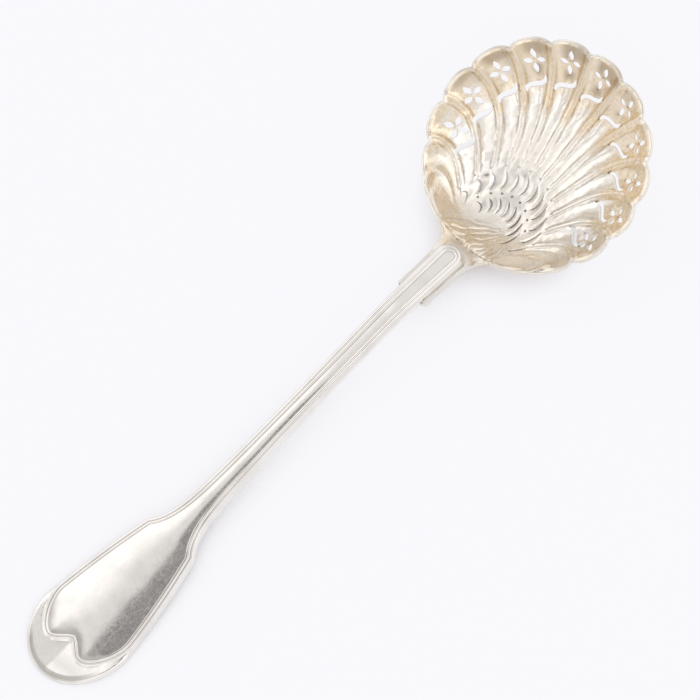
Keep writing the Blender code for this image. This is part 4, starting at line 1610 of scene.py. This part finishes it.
@dataclass
class Studio:
    """A white table in a pale room, seen from above with a long lens."""

    # Camera: degrees, and millimetres per pixel
    azimuth: float = -46.92
    elevation: float = 67.27
    scale: float = 0.2545
    lens: float = 400.0
    sensor: float = 36.0
    aim: tuple[float, float] = (5.33, 9.97)
    # Table
    floor_side: float = 6000.0
    board: str = "#FAFAFE"
    shadowless: float = 0.86
    contact: float = 10.0
    # Room and lamp
    room: str = "#FFFCFA"
    walls: float = 1.0
    ceiling: float = 0.81
    ceiling_from: tuple[float, float] = (0.72, 0.94)
    lamp_at: tuple[float, float, float] = (480.0, -520.0, 700.0)
    lamp_side: float = 560.0
    lamp_watts: float = 0.12
    glows: tuple[Glow, ...] = (
        Glow((0.3, 0.55, 0.78), 10.0, 22.0, 1.25),
        Glow((0.1, -0.9, 0.35), 25.0, 50.0, 0.86),
        Glow((-0.98, 0.1, 0.12), 14.0, 32.0, 0.76),
        Glow((0.0, 0.99, 0.1), 20.0, 45.0, 0.85),
        Glow((0.5, -0.45, 0.74), 16.0, 28.0, 0.98),
        Glow((-0.3, -0.6, 0.74), 12.0, 24.0, 1.1),
        Glow((-0.68, 0.58, 0.45), 13.0, 22.0, 1.2),
        Glow((-0.35, 0.83, 0.43), 9.0, 14.0, 1.3),
        Glow((0.25, 0.82, 0.5), 10.0, 18.0, 1.25),
        Glow((0.5, 0.25, 0.83), 10.0, 16.0, 0.84),
        Glow((-0.62, -0.56, 0.53), 8.0, 11.0, 1.3),
        Glow((-0.86, -0.3, 0.36), 7.0, 10.0, 1.3),
        Glow((-0.97, 0.05, 0.2), 7.0, 10.0, 1.15),
        Glow((0.4, -0.64, 0.66), 8.0, 12.0, 1.3),
        Glow((0.08, -0.66, 0.75), 6.0, 11.0, 1.3),
        Glow((-0.15, 0.37, 0.92), 8.0, 11.0, 0.6),
        Glow((0.19, -0.03, 0.977), 8.0, 10.0, 0.27),
    )

    def frame_axes(self) -> tuple[Vector, Vector, Vector]:
        """The picture's axes in the part's frame.

        Returns:
            Its right and up directions, and the direction from the spoon to the camera.
        """
        a, e = math.radians(self.azimuth), math.radians(self.elevation)
        right = Vector((math.cos(a), math.sin(a), 0.0))
        back = Vector((math.sin(a) * math.cos(e), -math.cos(a) * math.cos(e), math.sin(e)))
        return right, back.cross(right), back

    def add_camera(self) -> None:
        """A long lens, far enough away that one image pixel is scale millimetres at the spoon."""
        right, up, back = self.frame_axes()
        data = bpy.data.cameras.new("camera")
        data.lens = self.lens
        data.sensor_width = self.sensor
        distance = self.scale * IMAGE_SIDE * self.lens / self.sensor
        camera = bpy.data.objects.new("camera", data)
        where = right * self.aim[0] + up * self.aim[1] + back * distance
        camera.location = where * METRES_PER_MM
        camera.rotation_mode = "QUATERNION"
        camera.rotation_quaternion = (-back).to_track_quat("-Z", "Y")
        data.clip_start = 0.01
        data.clip_end = 100.0
        bpy.context.scene.collection.objects.link(camera)
        bpy.context.scene.camera = camera

    def add_floor(self) -> None:
        """A sheet of white board that keeps part of the spoon's shadow, as over-lit board does."""
        half = self.floor_side * METRES_PER_MM / 2
        mesh = bpy.data.meshes.new("table")
        corners = [(-half, -half, 0.0), (half, -half, 0.0), (half, half, 0.0), (-half, half, 0.0)]
        mesh.from_pydata(corners, [], [(0, 1, 2, 3)])
        material = bpy.data.materials.new("matt_white_board")
        material.use_nodes = True
        tree = material.node_tree
        tree.nodes.remove(tree.nodes["Principled BSDF"])
        n = Nodes(tree)
        rays = n.add("ShaderNodeLightPath").outputs
        seen = n.add("ShaderNodeMath", i0=rays["Is Camera Ray"], i1=rays["Is Glossy Ray"])
        seen = n.add("ShaderNodeMath", i0=seen.outputs[0], i1=rays["Is Transmission Ray"])
        near = {"samples": 8, "only_local": False}
        open_sky = n.add("ShaderNodeAmbientOcclusion", near, Distance=self.contact * METRES_PER_MM)
        lit = n.add("ShaderNodeMapRange", Value=open_sky.outputs["AO"], i1=0.25, i2=0.9, i4=self.shadowless)
        share = n.add("ShaderNodeMath", {"operation": "MULTIPLY"}, i0=seen.outputs[0], i1=lit.outputs[0])
        matt = n.add("ShaderNodeBsdfDiffuse", Color=linear(self.board))
        white = n.add("ShaderNodeEmission", Color=linear(self.board), Strength=1.0)
        mix = n.add("ShaderNodeMixShader", i0=share.outputs[0], i1=matt.outputs[0], i2=white.outputs[0])
        n.feed(tree.nodes["Material Output"], Surface=mix.outputs[0])
        mesh.materials.append(material)
        floor = bpy.data.objects.new("table", mesh)
        bpy.context.scene.collection.objects.link(floor)

    def add_room(self) -> None:
        """Pale walls, a greyer ceiling, and the brighter and darker areas between them."""
        world = bpy.data.worlds.new("room")
        bpy.context.scene.world = world
        world.use_nodes = True
        n = Nodes(world.node_tree)
        towards = n.add("ShaderNodeTexCoord").outputs["Generated"]
        height = n.add("ShaderNodeSeparateXYZ", i0=towards).outputs["Z"]
        soft = {"interpolation_type": "SMOOTHSTEP"}
        low, high = self.ceiling_from
        levels = {"i3": self.walls, "i4": self.ceiling}
        level = n.add("ShaderNodeMapRange", soft, Value=height, i1=low, i2=high, **levels)
        for glow in self.glows:
            axis = Vector(glow.towards).normalized()
            facing = n.add("ShaderNodeVectorMath", {"operation": "DOT_PRODUCT"}, i0=towards, i1=axis)
            edge, core = (math.cos(math.radians(angle)) for angle in (glow.edge, glow.core))
            mask = n.add("ShaderNodeMapRange", soft, Value=facing.outputs["Value"], i1=edge, i2=core)
            level = n.add("ShaderNodeMix", i0=mask.outputs[0], i2=level.outputs[0], i3=glow.strength)
        n.feed(world.node_tree.nodes["Background"], Color=linear(self.room), Strength=level.outputs[0])

    def add_lamp(self) -> None:
        """A square soft lamp to the right of the spoon, facing it."""
        data = bpy.data.lights.new("side_lamp", "AREA")
        data.shape = "SQUARE"
        data.size = self.lamp_side * METRES_PER_MM
        data.energy = self.lamp_watts
        lamp = bpy.data.objects.new("side_lamp", data)
        lamp.location = Vector(self.lamp_at) * METRES_PER_MM
        lamp.rotation_mode = "QUATERNION"
        lamp.rotation_quaternion = lamp.location.to_track_quat("Z", "Y")
        bpy.context.scene.collection.objects.link(lamp)

    def build(self) -> None:
        """Set up floor, room, lamp and camera."""
        bpy.context.scene.view_settings.view_transform = "Standard"
        self.add_floor()
        self.add_room()
        self.add_lamp()
        self.add_camera()


def main() -> None:
    """Build and dress the spoon's pieces in order, then the studio."""
    logging.basicConfig(level=logging.INFO, format="%(name)s: %(message)s")
    bowl = Bowl()
    handle = Handle(bowl)
    shift = handle.reach + CAD_BOX[0].x / METRES_PER_MM
    pieces = [bowl.build(shift), handle.build(shift), handle.build_solder(shift)]
    bowl.dress(pieces[0], GiltFinish())
    handle.dress(pieces[1], SilverFinish())
    # Hard silver solder, left as it flowed: greyer and duller than the polished silver
    dull = SilverFinish(name="dull_silver_solder", bright="#E4E1DA", roughness=0.35)
    handle.dress_solder(pieces[2], dull)
    for piece in pieces:
        LOG.info("%s: %d vertices, %d faces", piece.name, len(piece.data.vertices), len(piece.data.polygons))
    Studio().build()


if __name__ == "__main__":
    main()
